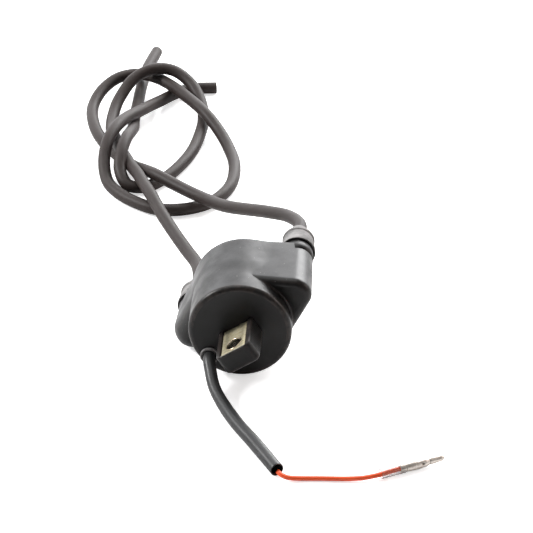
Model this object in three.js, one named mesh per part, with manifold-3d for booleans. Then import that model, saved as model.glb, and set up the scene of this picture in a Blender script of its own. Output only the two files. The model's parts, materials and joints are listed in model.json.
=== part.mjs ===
// Twin-lead ignition coil for a small engine, built as an assembly of separate pieces.
// Millimetres, +Z up. The barrel's axis runs along Y, with the front face towards -Y. The coil lies
// rolled over on its side, on the barrel and the left boot. The origin is on the floor under mid-barrel.
import * as THREE from "three";
import { mergeVertices } from "three/addons/utils/BufferGeometryUtils.js";
import Module from "manifold-3d";

const wasm = await Module();
wasm.setup();

// Clearances
const GAP = 0.3; // between pieces that touch

// Case
const BARREL_RADIUS = 26;
const BARREL_LENGTH = 49;
const BARREL_EDGE = 2.6; // rounding of the front rim
const BARREL_WALL = 3.2;
const FRONT_WALL = 3.5;
const TOWER_SPACING = 31.5; // barrel axis to tower axis
const ARM_SETBACK = 8; // front face to the front of the upper arm
const ARM_LEAN = 10; // how much further back the front of the lower arm is
const ARM_FRONT_RADIUS = 8.9;
const ARM_REAR_RADIUS = 8;
const ARM_EDGE = 4;
const TOWER_RADIUS = 7.4;
const TOWER_LENGTH = 13.5; // past the rear of the barrel
const TOWER_EDGE = 0.8;

// Core
const CORE_WIDTH = 13.8;
const LAMINATION_COUNT = 7;
const LAMINATION_THICKNESS = 0.8;
const CORE_REACH = 22.6; // past the front and rear faces
const MOUNT_HOLE_RADIUS = 4.1;
const MOUNT_HOLE_REACH = 16; // past the front and rear faces

// Bosses round the ends of the core
const BOSS_WIDTH = 19.6;
const BOSS_REACH = 24.6;
const BOSS_RIM = 0.7; // above the top lamination
const BOSS_FLOOR = 2.6;
const BOSS_EDGE = 1.6;
const BOSS_HOLE_RADIUS = 4.9;

// Windings, all of them round the core
const FRONT_SPACE = 5; // behind the front wall, for the primary wire
const REAR_SPACE = 12; // in front of the rear face, for the straps and the cover
const BOBBIN_WALL = 1;
const PRIMARY_DEPTH = 2.8;
const PRIMARY_TAPE = 0.5;
const SECONDARY_ROOM = 2; // from the sides of the primary bobbin's flanges to the secondary tube
const SECONDARY_COUNT = 6;
const FLANGE_THICKNESS = 1.1;
const FLANGE_RADIUS = 20;
const SECONDARY_RADIUS = 19;
const WRAP_THICKNESS = 0.6;
const COVER_THICKNESS = 3;
const COVER_RECESS = 0.8;
const RESIN_DEPTH = 3;

// High tension side
const LEAD_RADIUS = 3.5;
const TERMINAL_SETBACK = 0.5; // of the terminal's flange, before the bobbins' rear end
const TERMINAL_FLANGE = 2.5;
const TERMINAL_PIN = 3.5;
const TERMINAL_PIN_RADIUS = 1.2;
const STRAP_WIDTH = 3;
const STRAP_THICKNESS = 0.6;
const SEAL_DEPTH = 5;
const SEAL_WALL = 1.4;

// Boots
const BOOT_RADIUS = 9.2;
const BOOT_WALL = 1.4;
const BOOT_LENGTH = 18.5;
const BOOT_OVERLAP = 8.4; // over the tower
const BOOT_COLLAR_RADIUS = 5.3;
const BOOT_COLLAR_LENGTH = 6;
const BOOT_BEAD = 0.7;

// Primary lead
const SLEEVE_RADIUS = 3;
const SLEEVE_PLACE = { x: -15.3, z: 12.1 };
const GROMMET_WALL = 0.9;
const GROMMET_LIP = 1.6;
const WIRE_RADIUS = 1.2;
const BULLET_PLACE = { x: 81, y: -107, z: 2.7 }; // the open end of its barrel
const BULLET_HEADING = (28 * Math.PI) / 180;
const BULLET_LENGTH = 24;
const BULLET_RADIUS = 1.7;
const CRIMP_RADIUS = 2.6;
const CRIMP_LENGTH = 15;
const CRIMP_DEPTH = 6; // of the wire in the barrel
const TERMINAL_SLEEVE_WALL = 0.4;
const TERMINAL_SLEEVE_BEFORE = 10;
const TERMINAL_SLEEVE_OVER = 5;

// Places that follow from the sizes
const FRONT = -BARREL_LENGTH / 2;
const REAR = BARREL_LENGTH / 2;
const ROLL = Math.asin((BARREL_RADIUS - BOOT_RADIUS) / TOWER_SPACING); // boot and barrel both touch the floor
const CAVITY_RADIUS = BARREL_RADIUS - BARREL_WALL;
const LAMINATION_PITCH = LAMINATION_THICKNESS + GAP;
const CORE_HALF = (LAMINATION_COUNT * LAMINATION_PITCH - GAP) / 2;
const BOSS_TOP = CORE_HALF + BOSS_RIM;
const BOSS_BOTTOM = -CORE_HALF - GAP - BOSS_FLOOR;
const BORE_RADIUS = LEAD_RADIUS + GAP;
const SECONDARY_TUBE_RADIUS = CORE_WIDTH / 2 + 2 * GAP + BOBBIN_WALL + PRIMARY_DEPTH + SECONDARY_ROOM; // inside
const TOWER_END = REAR + TOWER_LENGTH;
const BOOT_MOUTH = TOWER_END - BOOT_OVERLAP;
const BOOT_END = BOOT_MOUTH + BOOT_LENGTH;
const BOBBIN_START = FRONT + FRONT_WALL + FRONT_SPACE;
const BOBBIN_END = REAR - REAR_SPACE;
const STRAP_PLACE = BOBBIN_END + GAP + STRAP_WIDTH / 2;
const COVER_BACK = REAR - COVER_RECESS;
const COVER_FRONT = COVER_BACK - COVER_THICKNESS;
const RESIN_BACK = COVER_FRONT - GAP;
const TERMINAL_PLACE = BOBBIN_END - TERMINAL_SETBACK;
const LEAD_START = TERMINAL_PLACE + TERMINAL_FLANGE + TERMINAL_PIN + GAP;
const TOWER_X = TOWER_SPACING * Math.cos(ROLL);
const TOWER_Z = TOWER_SPACING * Math.sin(ROLL);

// ---------------------------------------------------------------- solids

/** A manifold-3d solid of a closed geometry. */
function solidOf(geometry) {
  const bare = new THREE.BufferGeometry();
  const flat = geometry.index ? geometry.toNonIndexed() : geometry;
  bare.setAttribute("position", flat.getAttribute("position"));
  const merged = mergeVertices(bare, 1e-4);
  return new wasm.Manifold(
    new wasm.Mesh({
      numProp: 3,
      vertProperties: merged.attributes.position.array,
      triVerts: new Uint32Array(merged.index.array),
    }),
  );
}

/** The geometry of a manifold-3d solid. */
function geometryOf(solid) {
  const mesh = solid.getMesh();
  const geometry = new THREE.BufferGeometry();
  geometry.setAttribute("position", new THREE.BufferAttribute(mesh.vertProperties, 3));
  geometry.setIndex(new THREE.BufferAttribute(mesh.triVerts, 1));
  const flat = geometry.toNonIndexed();
  flat.computeVertexNormals();
  return flat;
}

/** A turned solid round Y through (x, z), from a profile of [radius, y] that ends on the axis or closes. */
function turned(profile, { x = 0, z = 0, segments = 48 } = {}) {
  const points = profile.map(([radius, y]) => new THREE.Vector2(radius, y));
  return new THREE.LatheGeometry(points, segments).translate(x, 0, z);
}

/** A ring round Y, turned from its four corners, listed so that its faces point out. */
function ring(inner, outer, start, end, options) {
  const corners = [
    [inner, start],
    [outer, start],
    [outer, end],
    [inner, end],
    [inner, start],
  ];
  return turned(corners, options);
}

/** A round bar along Y. */
function rod(radius, start, end, options) {
  const corners = [
    [0, start],
    [radius, start],
    [radius, end],
    [0, end],
  ];
  return turned(corners, options);
}

/** A shape drawn in X and Z, made solid from y = start to y = end. */
function prism(shape, start, end, options = {}) {
  const depth = end - start;
  const geometry = new THREE.ExtrudeGeometry(shape, { depth, bevelEnabled: false, curveSegments: 8, ...options });
  return geometry.rotateX(Math.PI / 2).translate(0, end, 0);
}

/** A box between two corners. */
function box(low, high) {
  const size = high.map((v, i) => v - low[i]);
  const middle = high.map((v, i) => (v + low[i]) / 2);
  return new THREE.BoxGeometry(...size).translate(...middle);
}

/** A rectangle with rounded corners, drawn about the middle of its width, from bottom to top. */
function roundedRectangle(width, bottom, top, radius, path = new THREE.Shape()) {
  const half = width / 2;
  path.moveTo(-half + radius, bottom);
  path.lineTo(half - radius, bottom);
  path.absarc(half - radius, bottom + radius, radius, -Math.PI / 2, 0);
  path.absarc(half - radius, top - radius, radius, 0, Math.PI / 2);
  path.absarc(-half + radius, top - radius, radius, Math.PI / 2, Math.PI);
  path.absarc(-half + radius, bottom + radius, radius, Math.PI, 1.5 * Math.PI);
  return path;
}

/** A rectangular tube with rounded corners, its wall of the given thickness outside the hole. */
function frame(width, height, wall, radius, start, end) {
  const shape = roundedRectangle(width + 2 * wall, -height / 2 - wall, height / 2 + wall, radius + wall);
  shape.holes.push(roundedRectangle(width, -height / 2, height / 2, radius, new THREE.Path()));
  return prism(shape, start, end);
}

/** Points of a rounding from (radius - edge, y) out to (radius, y + edge), or back in when turned round. */
function rounding(radius, y, edge, direction, steps = 5) {
  return Array.from({ length: steps + 1 }, (_, i) => {
    const angle = (i / steps) * (Math.PI / 2);
    return [radius - edge * (1 - Math.sin(angle)), y + direction * edge * (1 - Math.cos(angle))];
  });
}

/**
 * The outline of the arms: a band drawn tight round the barrel and two tower ends.
 * Every outline has the same number of points, so outlines can be joined into a skin.
 */
function armOutline(endRadius, inset) {
  const barrel = BARREL_RADIUS - 0.3 - inset;
  const end = endRadius - inset;
  const tangent = Math.acos((barrel - end) / TOWER_SPACING);
  const points = [];
  const arc = (cx, radius, from, to, count) => {
    for (let i = 0; i <= count; i++) {
      const angle = from + ((to - from) * i) / count;
      points.push([cx + radius * Math.cos(angle), radius * Math.sin(angle)]);
    }
  };
  arc(TOWER_SPACING, end, -tangent, tangent, 16);
  arc(0, barrel, tangent, Math.PI - tangent, 16);
  arc(-TOWER_SPACING, end, Math.PI - tangent, Math.PI + tangent, 16);
  arc(0, barrel, Math.PI + tangent, 2 * Math.PI - tangent, 16);
  return points;
}

/** A skin through outlines of equal count at rising y, closed with a fan at each end. */
function loft(sections) {
  const count = sections[0].points.length;
  const positions = [];
  const index = [];
  for (const { y, lean = 0, points } of sections) {
    for (const [x, z] of points) positions.push(x, y + lean * (TOWER_SPACING - x), z);
  }
  for (let s = 0; s < sections.length - 1; s++) {
    for (let i = 0; i < count; i++) {
      const a = s * count + i;
      const b = s * count + ((i + 1) % count);
      index.push(a, a + count, b);
      index.push(b, a + count, b + count);
    }
  }
  const last = (sections.length - 1) * count;
  for (let i = 1; i < count - 1; i++) {
    index.push(0, i, i + 1);
    index.push(last, last + i + 1, last + i);
  }
  const geometry = new THREE.BufferGeometry();
  geometry.setAttribute("position", new THREE.Float32BufferAttribute(positions, 3));
  geometry.setIndex(index);
  return geometry;
}

/** The hull of the arms, with a rounded front edge and a draft towards the rear. */
function armHull() {
  const start = FRONT + ARM_SETBACK;
  const lean = ARM_LEAN / (2 * TOWER_SPACING);
  const sections = rounding(0, start, ARM_EDGE, 1).map(([inset, y]) => ({
    y,
    lean,
    points: armOutline(ARM_FRONT_RADIUS, -inset),
  }));
  for (const [inset, y] of rounding(0, REAR, 1, -1, 3).reverse()) {
    sections.push({ y, points: armOutline(ARM_REAR_RADIUS, -inset) });
  }
  return loft(sections);
}

/** A smooth curve through the points of a cord. */
function cordCurve(points) {
  return new THREE.CatmullRomCurve3(points.map((p) => new THREE.Vector3(...p)));
}

/** A cord: a many-sided section swept along its curve. */
function cord(points, radius, sides, step) {
  const curve = cordCurve(points);
  const section = new THREE.Shape(
    Array.from({ length: sides }, (_, i) => {
      const angle = ((i + 0.5) / sides) * 2 * Math.PI;
      return new THREE.Vector2(radius * Math.cos(angle), radius * Math.sin(angle));
    }),
  );
  const steps = Math.ceil(curve.getLength() / step);
  return new THREE.ExtrudeGeometry(section, { steps, extrudePath: curve, bevelEnabled: false });
}

// ---------------------------------------------------------------- materials

/** A material with one colour, roughness and metalness. */
function material(color, roughness, metalness = 0) {
  return new THREE.MeshStandardMaterial({ color, roughness, metalness });
}

const casePlastic = () => material(0x2b2a2b, 0.42);
const resin = () => material(0x1c1a19, 0.25);
const coreSteel = () => material(0xb9ab8b, 0.4, 1);
const bobbinPlastic = () => material(0xc9bd9f, 0.6);
const copper = () => material(0xb4602f, 0.35, 1);
const tape = () => material(0xd8b64a, 0.5);
const brass = () => material(0xc19a4b, 0.35, 1);
const leadRubber = () => material(0x4a4443, 0.55);
const bootRubber = () => material(0x55524f, 0.7);
const sleeveVinyl = () => material(0x2a2a2c, 0.35);
const wireVinyl = () => material(0xdb4a22, 0.4);
const clearVinyl = () => material(0xd9dad6, 0.15);
const tinPlate = () => material(0xc4bba8, 0.3, 1);

// ---------------------------------------------------------------- assembly

const object = new THREE.Group();
const coil = new THREE.Group();
coil.position.z = BARREL_RADIUS;
coil.rotation.y = -ROLL;
object.add(coil);

/** Adds a named piece to a group. */
function add(group, name, geometry, look) {
  const mesh = new THREE.Mesh(geometry, look);
  mesh.name = name;
  group.add(mesh);
  return mesh;
}

/** The two sides of the coil: a name and the sign of its X. */
const SIDES = [
  { side: "left", sign: -1 },
  { side: "right", sign: 1 },
];

/** A boss round one end of the core, with an open top, a groove past the core's end and a bolt hole. */
function boss(direction) {
  const face = direction * (BARREL_LENGTH / 2);
  const span = (from, to) => [face + direction * from, face + direction * to].sort((a, b) => a - b);
  const shape = roundedRectangle(BOSS_WIDTH - 2 * BOSS_EDGE, BOSS_BOTTOM + BOSS_EDGE, BOSS_TOP - 0.4, 0.8);
  const [start, end] = span(-2 - BOSS_EDGE, BOSS_REACH - BOSS_EDGE);
  const bevel = { bevelEnabled: true, bevelThickness: BOSS_EDGE, bevelSize: BOSS_EDGE, bevelSegments: 3 };
  let body = solidOf(prism(shape, start, end, bevel));
  const top = box([-BOSS_WIDTH, start - 9, BOSS_TOP], [BOSS_WIDTH, end + 9, BOSS_TOP + 9]);
  body = body.subtract(solidOf(top));
  const hole = rod(BOSS_HOLE_RADIUS, -20, 20, { segments: 32 }).rotateX(Math.PI / 2);
  hole.translate(0, face + direction * MOUNT_HOLE_REACH, 0);
  return body.subtract(solidOf(hole));
}

/** The space that the end of the core lies in, open at the top in front of the face. */
function coreSlot(direction, inner) {
  const face = direction * (BARREL_LENGTH / 2);
  const half = CORE_WIDTH / 2 + GAP;
  const [low, high] = [face - direction * inner, face + direction * (CORE_REACH + GAP)].sort((a, b) => a - b);
  const passage = solidOf(box([-half, low, -CORE_HALF - GAP], [half, high, CORE_HALF + GAP]));
  const [near, far] = [face, face + direction * (CORE_REACH + 1)].sort((a, b) => a - b);
  return passage.add(solidOf(box([-half, near, CORE_HALF - LAMINATION_THICKNESS], [half, far, CORE_HALF + 9])));
}

/** The channel from the barrel to a tower's bore, for the strap. */
function strapChannel(sign, from) {
  const half = [STRAP_WIDTH / 2 + 0.6, STRAP_THICKNESS / 2 + 0.7];
  const xs = [sign * from, sign * TOWER_SPACING].sort((a, b) => a - b);
  return solidOf(box([xs[0], STRAP_PLACE - half[0], -half[1]], [xs[1], STRAP_PLACE + half[0], half[1]]));
}

/** The middle of the primary lead's exit, in the coil's own frame. */
const EXIT = (() => {
  const height = SLEEVE_PLACE.z - BARREL_RADIUS;
  return {
    x: SLEEVE_PLACE.x * Math.cos(ROLL) + height * Math.sin(ROLL),
    z: -SLEEVE_PLACE.x * Math.sin(ROLL) + height * Math.cos(ROLL),
  };
})();
const GROMMET_RADIUS = SLEEVE_RADIUS + GAP + GROMMET_WALL;

/** The moulded case: barrel, arms, towers and front boss, hollow and open at the rear. */
function caseShell() {
  const barrel = turned(
    [
      [0, FRONT],
      ...rounding(BARREL_RADIUS, FRONT, BARREL_EDGE, 1),
      ...rounding(BARREL_RADIUS, REAR, 1, -1, 3).reverse(),
      [0, REAR],
    ],
    { segments: 80 },
  );
  let body = solidOf(barrel).add(solidOf(armHull()));
  for (const { sign } of SIDES) {
    const tower = turned(
      [
        [0, REAR - 6],
        [TOWER_RADIUS + 0.2, REAR - 6],
        [TOWER_RADIUS, TOWER_END - TOWER_EDGE],
        [TOWER_RADIUS - TOWER_EDGE, TOWER_END],
        [0, TOWER_END],
      ],
      { x: sign * TOWER_SPACING },
    );
    body = body.add(solidOf(tower));
  }
  body = body.add(boss(-1));
  body = body.subtract(solidOf(rod(CAVITY_RADIUS, FRONT + FRONT_WALL, REAR + 5, { segments: 60 })));
  body = body.subtract(coreSlot(-1, FRONT_WALL + 5));
  for (const { sign } of SIDES) {
    const x = sign * TOWER_SPACING;
    const seat = BORE_RADIUS + SEAL_WALL + GAP;
    body = body.subtract(solidOf(rod(BORE_RADIUS, TERMINAL_PLACE - GAP, TOWER_END + 5, { x, segments: 32 })));
    body = body.subtract(solidOf(rod(seat, TOWER_END - SEAL_DEPTH - GAP, TOWER_END + 5, { x, segments: 32 })));
    body = body.subtract(strapChannel(sign, CAVITY_RADIUS - 2));
  }
  const exit = rod(GROMMET_RADIUS + GAP, FRONT - 5, FRONT + FRONT_WALL + 2, { ...EXIT, segments: 32 });
  return body.subtract(solidOf(exit));
}
add(coil, "case_shell", geometryOf(caseShell()), casePlastic());

/** The cover that closes the rear of the barrel, with the rear boss on it. */
function caseCover() {
  const disc = turned([
    [0, COVER_FRONT],
    [CAVITY_RADIUS - GAP, COVER_FRONT],
    [CAVITY_RADIUS - GAP, COVER_BACK - 0.6],
    [CAVITY_RADIUS - GAP - 0.6, COVER_BACK],
    [0, COVER_BACK],
  ], { segments: 60 });
  const inside = box([-BOSS_WIDTH, -REAR, -BOSS_WIDTH], [BOSS_WIDTH, COVER_FRONT + 1, BOSS_WIDTH]);
  const slot = coreSlot(1, REAR_SPACE);
  return solidOf(disc).add(boss(1).subtract(solidOf(inside))).subtract(slot);
}
add(coil, "case_cover", geometryOf(caseCover()), casePlastic());

/** The potting: a sleeve round the windings and a plug behind them, with slots for the straps. */
function pottingResin() {
  const inner = FLANGE_RADIUS + WRAP_THICKNESS + 2 * GAP;
  const outer = CAVITY_RADIUS - GAP;
  const plug = RESIN_BACK - RESIN_DEPTH;
  const profile = [
    [inner, BOBBIN_START],
    [outer, BOBBIN_START],
    [outer, RESIN_BACK],
    [0, RESIN_BACK],
    [0, plug],
    [inner, plug],
    [inner, BOBBIN_START],
  ];
  let body = solidOf(turned(profile, { segments: 60 }));
  const half = CORE_WIDTH / 2 + GAP;
  body = body.subtract(solidOf(box([-half, plug - 5, -CORE_HALF - GAP], [half, REAR, CORE_HALF + GAP])));
  for (const { sign } of SIDES) body = body.subtract(strapChannel(sign, inner - 3));
  return body;
}
add(coil, "potting_resin", geometryOf(pottingResin()), resin());

// The core: a stack of flat strips with a bolt hole near each end.
for (let i = 0; i < LAMINATION_COUNT; i++) {
  const half = CORE_WIDTH / 2;
  const reach = BARREL_LENGTH / 2 + CORE_REACH;
  const corner = 0.6;
  const outline = new THREE.Shape([
    new THREE.Vector2(-half + corner, -reach),
    new THREE.Vector2(half - corner, -reach),
    new THREE.Vector2(half, -reach + corner),
    new THREE.Vector2(half, reach - corner),
    new THREE.Vector2(half - corner, reach),
    new THREE.Vector2(-half + corner, reach),
    new THREE.Vector2(-half, reach - corner),
    new THREE.Vector2(-half, -reach + corner),
  ]);
  for (const direction of [-1, 1]) {
    const place = direction * (BARREL_LENGTH / 2 + MOUNT_HOLE_REACH);
    const hole = new THREE.Path();
    hole.absarc(0, place, MOUNT_HOLE_RADIUS, 0, 2 * Math.PI);
    outline.holes.push(hole);
  }
  const options = { depth: LAMINATION_THICKNESS, bevelEnabled: false, curveSegments: 24 };
  const strip = new THREE.ExtrudeGeometry(outline, options);
  strip.translate(0, 0, CORE_HALF - LAMINATION_THICKNESS - i * LAMINATION_PITCH);
  add(coil, `core_lamination_${i + 1}`, strip, coreSteel());
}

/** The primary bobbin: a tube round the core with a flange near each end. */
function primaryBobbin() {
  const width = CORE_WIDTH + 2 * GAP;
  const height = 2 * (CORE_HALF + GAP);
  const rooted = BOBBIN_WALL / 2; // the flanges start inside the tube's wall
  const flange = BOBBIN_WALL + GAP + PRIMARY_DEPTH - rooted;
  const collar = (start) =>
    solidOf(frame(width + 2 * rooted, height + 2 * rooted, flange, 1, start, start + FLANGE_THICKNESS - 0.2));
  const tube = solidOf(frame(width, height, BOBBIN_WALL, 0.5, BOBBIN_START, BOBBIN_END));
  return tube.add(collar(BOBBIN_START + 0.2)).add(collar(BOBBIN_END - FLANGE_THICKNESS));
}
add(coil, "primary_bobbin", geometryOf(primaryBobbin()), bobbinPlastic());

const WINDING_START = BOBBIN_START + FLANGE_THICKNESS + GAP;
const WINDING_END = BOBBIN_END - FLANGE_THICKNESS - GAP;
const WINDING_WIDTH = CORE_WIDTH + 2 * (2 * GAP + BOBBIN_WALL);
const WINDING_HEIGHT = 2 * (CORE_HALF + 2 * GAP + BOBBIN_WALL);
const coilLayer = frame(
  WINDING_WIDTH,
  WINDING_HEIGHT,
  PRIMARY_DEPTH - PRIMARY_TAPE - GAP,
  1.5,
  WINDING_START,
  WINDING_END,
);
add(coil, "primary_winding", coilLayer, copper());
const tapeGrow = 2 * (PRIMARY_DEPTH - PRIMARY_TAPE);
const tapeLayer = frame(
  WINDING_WIDTH + tapeGrow,
  WINDING_HEIGHT + tapeGrow,
  PRIMARY_TAPE,
  1.5 + tapeGrow / 2,
  WINDING_START,
  WINDING_END,
);
add(coil, "primary_insulation", tapeLayer, tape());

/** The secondary bobbin: a tube with a flange each side of every winding. */
const SECTION_PITCH = (BOBBIN_END - BOBBIN_START - FLANGE_THICKNESS) / SECONDARY_COUNT;
function secondaryBobbin() {
  const tube = SECONDARY_TUBE_RADIUS + BOBBIN_WALL;
  const profile = [[SECONDARY_TUBE_RADIUS, BOBBIN_START]];
  for (let i = 0; i <= SECONDARY_COUNT; i++) {
    const y = BOBBIN_START + i * SECTION_PITCH;
    if (i > 0) profile.push([tube, y]);
    profile.push([FLANGE_RADIUS, y]);
    profile.push([FLANGE_RADIUS, y + FLANGE_THICKNESS]);
    if (i < SECONDARY_COUNT) profile.push([tube, y + FLANGE_THICKNESS]);
  }
  profile.push([SECONDARY_TUBE_RADIUS, BOBBIN_END]);
  profile.push([SECONDARY_TUBE_RADIUS, BOBBIN_START]);
  return turned(profile, { segments: 40 });
}
add(coil, "secondary_bobbin", secondaryBobbin(), bobbinPlastic());
for (let i = 0; i < SECONDARY_COUNT; i++) {
  const start = BOBBIN_START + i * SECTION_PITCH + FLANGE_THICKNESS + GAP;
  const end = BOBBIN_START + (i + 1) * SECTION_PITCH - GAP;
  const inner = SECONDARY_TUBE_RADIUS + BOBBIN_WALL + GAP;
  add(coil, `secondary_winding_${i + 1}`, ring(inner, SECONDARY_RADIUS, start, end, { segments: 40 }), copper());
}
const wrap = FLANGE_RADIUS + GAP;
const wrapRing = ring(wrap, wrap + WRAP_THICKNESS, BOBBIN_START, BOBBIN_END, { segments: 40 });
add(coil, "secondary_insulation", wrapRing, tape());

/** A rubber boot: a flared skirt over the tower, a bead, and a collar that grips the lead. */
function boot(x) {
  const inside = TOWER_RADIUS + 0.5;
  const roof = TOWER_END + 0.6;
  const shoulder = BOOT_END - BOOT_COLLAR_LENGTH;
  const waist = BOOT_RADIUS - 1.5;
  const profile = [
    [BOOT_RADIUS - 0.7, BOOT_MOUTH],
    [BOOT_RADIUS, BOOT_MOUTH + 0.5],
    [BOOT_RADIUS - 0.3, BOOT_MOUTH + 3],
    [waist, shoulder - 3.4],
    [waist + BOOT_BEAD, shoulder - 2.9],
    [waist + BOOT_BEAD, shoulder - 1.5],
    [waist - 0.2, shoulder - 0.9],
    [BOOT_COLLAR_RADIUS + 0.9, shoulder + 0.4],
    [BOOT_COLLAR_RADIUS, shoulder + 2],
    [BOOT_COLLAR_RADIUS - 0.2, BOOT_END - 0.4],
    [BOOT_COLLAR_RADIUS - 0.6, BOOT_END],
    [BORE_RADIUS, BOOT_END],
    [BORE_RADIUS, roof + 1.2],
    [inside - 1.4, roof],
    [inside, roof - 1.2],
    [inside, BOOT_MOUTH + 3],
    [BOOT_RADIUS - BOOT_WALL + 0.3, BOOT_MOUTH],
    [BOOT_RADIUS - 0.7, BOOT_MOUTH],
  ];
  return turned(profile, { x, segments: 48 });
}

/** A terminal: a flange that the strap touches and a pin that meets the lead's core. */
function terminal(x) {
  const flange = TERMINAL_PLACE + TERMINAL_FLANGE;
  const profile = [
    [0, TERMINAL_PLACE],
    [BORE_RADIUS - GAP, TERMINAL_PLACE],
    [BORE_RADIUS - GAP, flange],
    [TERMINAL_PIN_RADIUS, flange],
    [TERMINAL_PIN_RADIUS, flange + TERMINAL_PIN - 1],
    [0, flange + TERMINAL_PIN],
  ];
  return turned(profile, { x, segments: 32 });
}

for (const { side, sign } of SIDES) {
  const x = sign * TOWER_SPACING;
  add(coil, `ht_terminal_${side}`, terminal(x), brass());
  const reach = [sign * (SECONDARY_TUBE_RADIUS + 2), sign * (TOWER_SPACING - BORE_RADIUS)].sort((a, b) => a - b);
  const half = [STRAP_WIDTH / 2, STRAP_THICKNESS / 2];
  const strap = box([reach[0], STRAP_PLACE - half[0], -half[1]], [reach[1], STRAP_PLACE + half[0], half[1]]);
  add(coil, `ht_strap_${side}`, strap, brass());
  const seal = ring(BORE_RADIUS, BORE_RADIUS + SEAL_WALL, TOWER_END - SEAL_DEPTH, TOWER_END, { x, segments: 32 });
  add(coil, `ht_seal_${side}`, seal, bootRubber());
  add(coil, `ht_boot_${side}`, boot(x), bootRubber());
}

/** The grommet that the primary lead leaves the front face through. */
function grommet() {
  const inner = SLEEVE_RADIUS + GAP;
  const lip = GROMMET_RADIUS + 0.5;
  const profile = [
    [inner, FRONT - GROMMET_LIP],
    [lip - 0.6, FRONT - GROMMET_LIP],
    [lip, FRONT - GROMMET_LIP + 0.6],
    [lip, FRONT - GAP],
    [GROMMET_RADIUS, FRONT - GAP],
    [GROMMET_RADIUS, FRONT + FRONT_WALL],
    [inner, FRONT + FRONT_WALL],
    [inner, FRONT - GROMMET_LIP],
  ];
  return turned(profile, { ...EXIT, segments: 32 });
}
add(coil, "primary_grommet", grommet(), bootRubber());

/** The tail of the primary winding, from the grommet across the front of the bobbins. */
function primaryTail() {
  const y = BOBBIN_START - GAP - WIRE_RADIUS;
  const end = WINDING_WIDTH / 2 + PRIMARY_DEPTH;
  const points = [
    [EXIT.x, FRONT + 2.4, EXIT.z],
    [EXIT.x + 0.4, FRONT + FRONT_WALL, EXIT.z],
    [EXIT.x + 2, y - 0.6, EXIT.z * 0.9],
    [-(end + 3), y, EXIT.z * 0.6],
    [-end, y, EXIT.z * 0.4],
  ];
  return cord(points, WIRE_RADIUS, 8, 1.5);
}
add(coil, "primary_tail", primaryTail(), wireVinyl());

// ---------------------------------------------------------------- cords

const LEAD_LEFT = [
  [-TOWER_X, LEAD_START, BARREL_RADIUS - TOWER_Z],
  [-TOWER_X, 42, BARREL_RADIUS - TOWER_Z],
  [-TOWER_X, 57, BARREL_RADIUS - TOWER_Z],
  [-29, 73, 8],
  [-36, 90, 7],
  [-44, 107, 7.8],
  [-52, 124, 9.6],
  [-60, 143, 11.7],
  [-66, 158, 11.6],
  [-70, 168, 11.7],
  [-75, 179, 11],
  [-79.5, 190, 11],
  [-83.5, 200, 11.2],
  [-87, 211, 11.2],
  [-90, 224, 8.8],
  [-92.5, 240, 4.8],
  [-93, 256, 5],
  [-90.5, 270, 9],
  [-83, 283, 15.5],
  [-72, 290, 18.8],
  [-60, 291, 17.7],
  [-49, 284, 13],
  [-42, 271, 7.7],
  [-39, 255, 4],
  [-39.5, 235, 3.8],
  [-43, 210, 3.8],
  [-50, 189, 3.8],
  [-57, 176, 3.8],
  [-66, 167, 3.8],
  [-75.5, 166.5, 5],
  [-80.8, 174.5, 10.5],
  [-80.6, 185.5, 16.9],
  [-79.2, 197.5, 18.9],
  [-78.2, 213, 15.2],
  [-78.4, 230, 9.4],
  [-80, 250, 5],
  [-80, 272, 3.9],
  [-80, 298, 3.8],
  [-78.5, 324, 3.8],
  [-75, 347, 3.8],
];
const LEAD_RIGHT = [
  [TOWER_X, LEAD_START, BARREL_RADIUS + TOWER_Z],
  [TOWER_X, 42, BARREL_RADIUS + TOWER_Z],
  [TOWER_X, 57, BARREL_RADIUS + TOWER_Z],
  [20, 73, 39],
  [9, 87, 33.5],
  [-17, 119, 19],
  [-30, 138, 13.1],
  [-45, 153.5, 11.6],
  [-60, 167, 12.2],
  [-67.5, 178, 9],
  [-75, 191, 4.4],
  [-86, 206, 3.8],
  [-97, 225, 3.8],
  [-104, 246, 3.8],
  [-106.5, 267, 4.4],
  [-102, 284, 7.7],
  [-93, 294.5, 10.6],
  [-81, 298, 11.4],
  [-70, 293, 11.3],
  [-60, 282.5, 11.4],
  [-49, 266.5, 11.5],
  [-38, 248, 11.6],
  [-29, 235, 7.2],
  [-21, 216, 3.9],
  [-16.5, 194, 3.8],
  [-18, 169, 3.8],
  [-27, 151, 3.8],
  [-41, 142, 3.8],
  [-56, 141, 3.8],
  [-70, 149, 3.8],
  [-81, 160, 3.9],
  [-88, 172, 4.8],
  [-91, 185, 10.5],
  [-90, 197, 16.7],
  [-87, 209, 19.2],
  [-82.5, 225, 17.8],
  [-75.5, 245, 13],
  [-68, 271, 5.8],
  [-51, 294, 3.8],
  [-34, 297, 3.8],
];
add(object, "ht_lead_left", cord(LEAD_LEFT, LEAD_RADIUS, 10, 9), leadRubber());
add(object, "ht_lead_right", cord(LEAD_RIGHT, LEAD_RADIUS, 10, 10), leadRubber());

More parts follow.
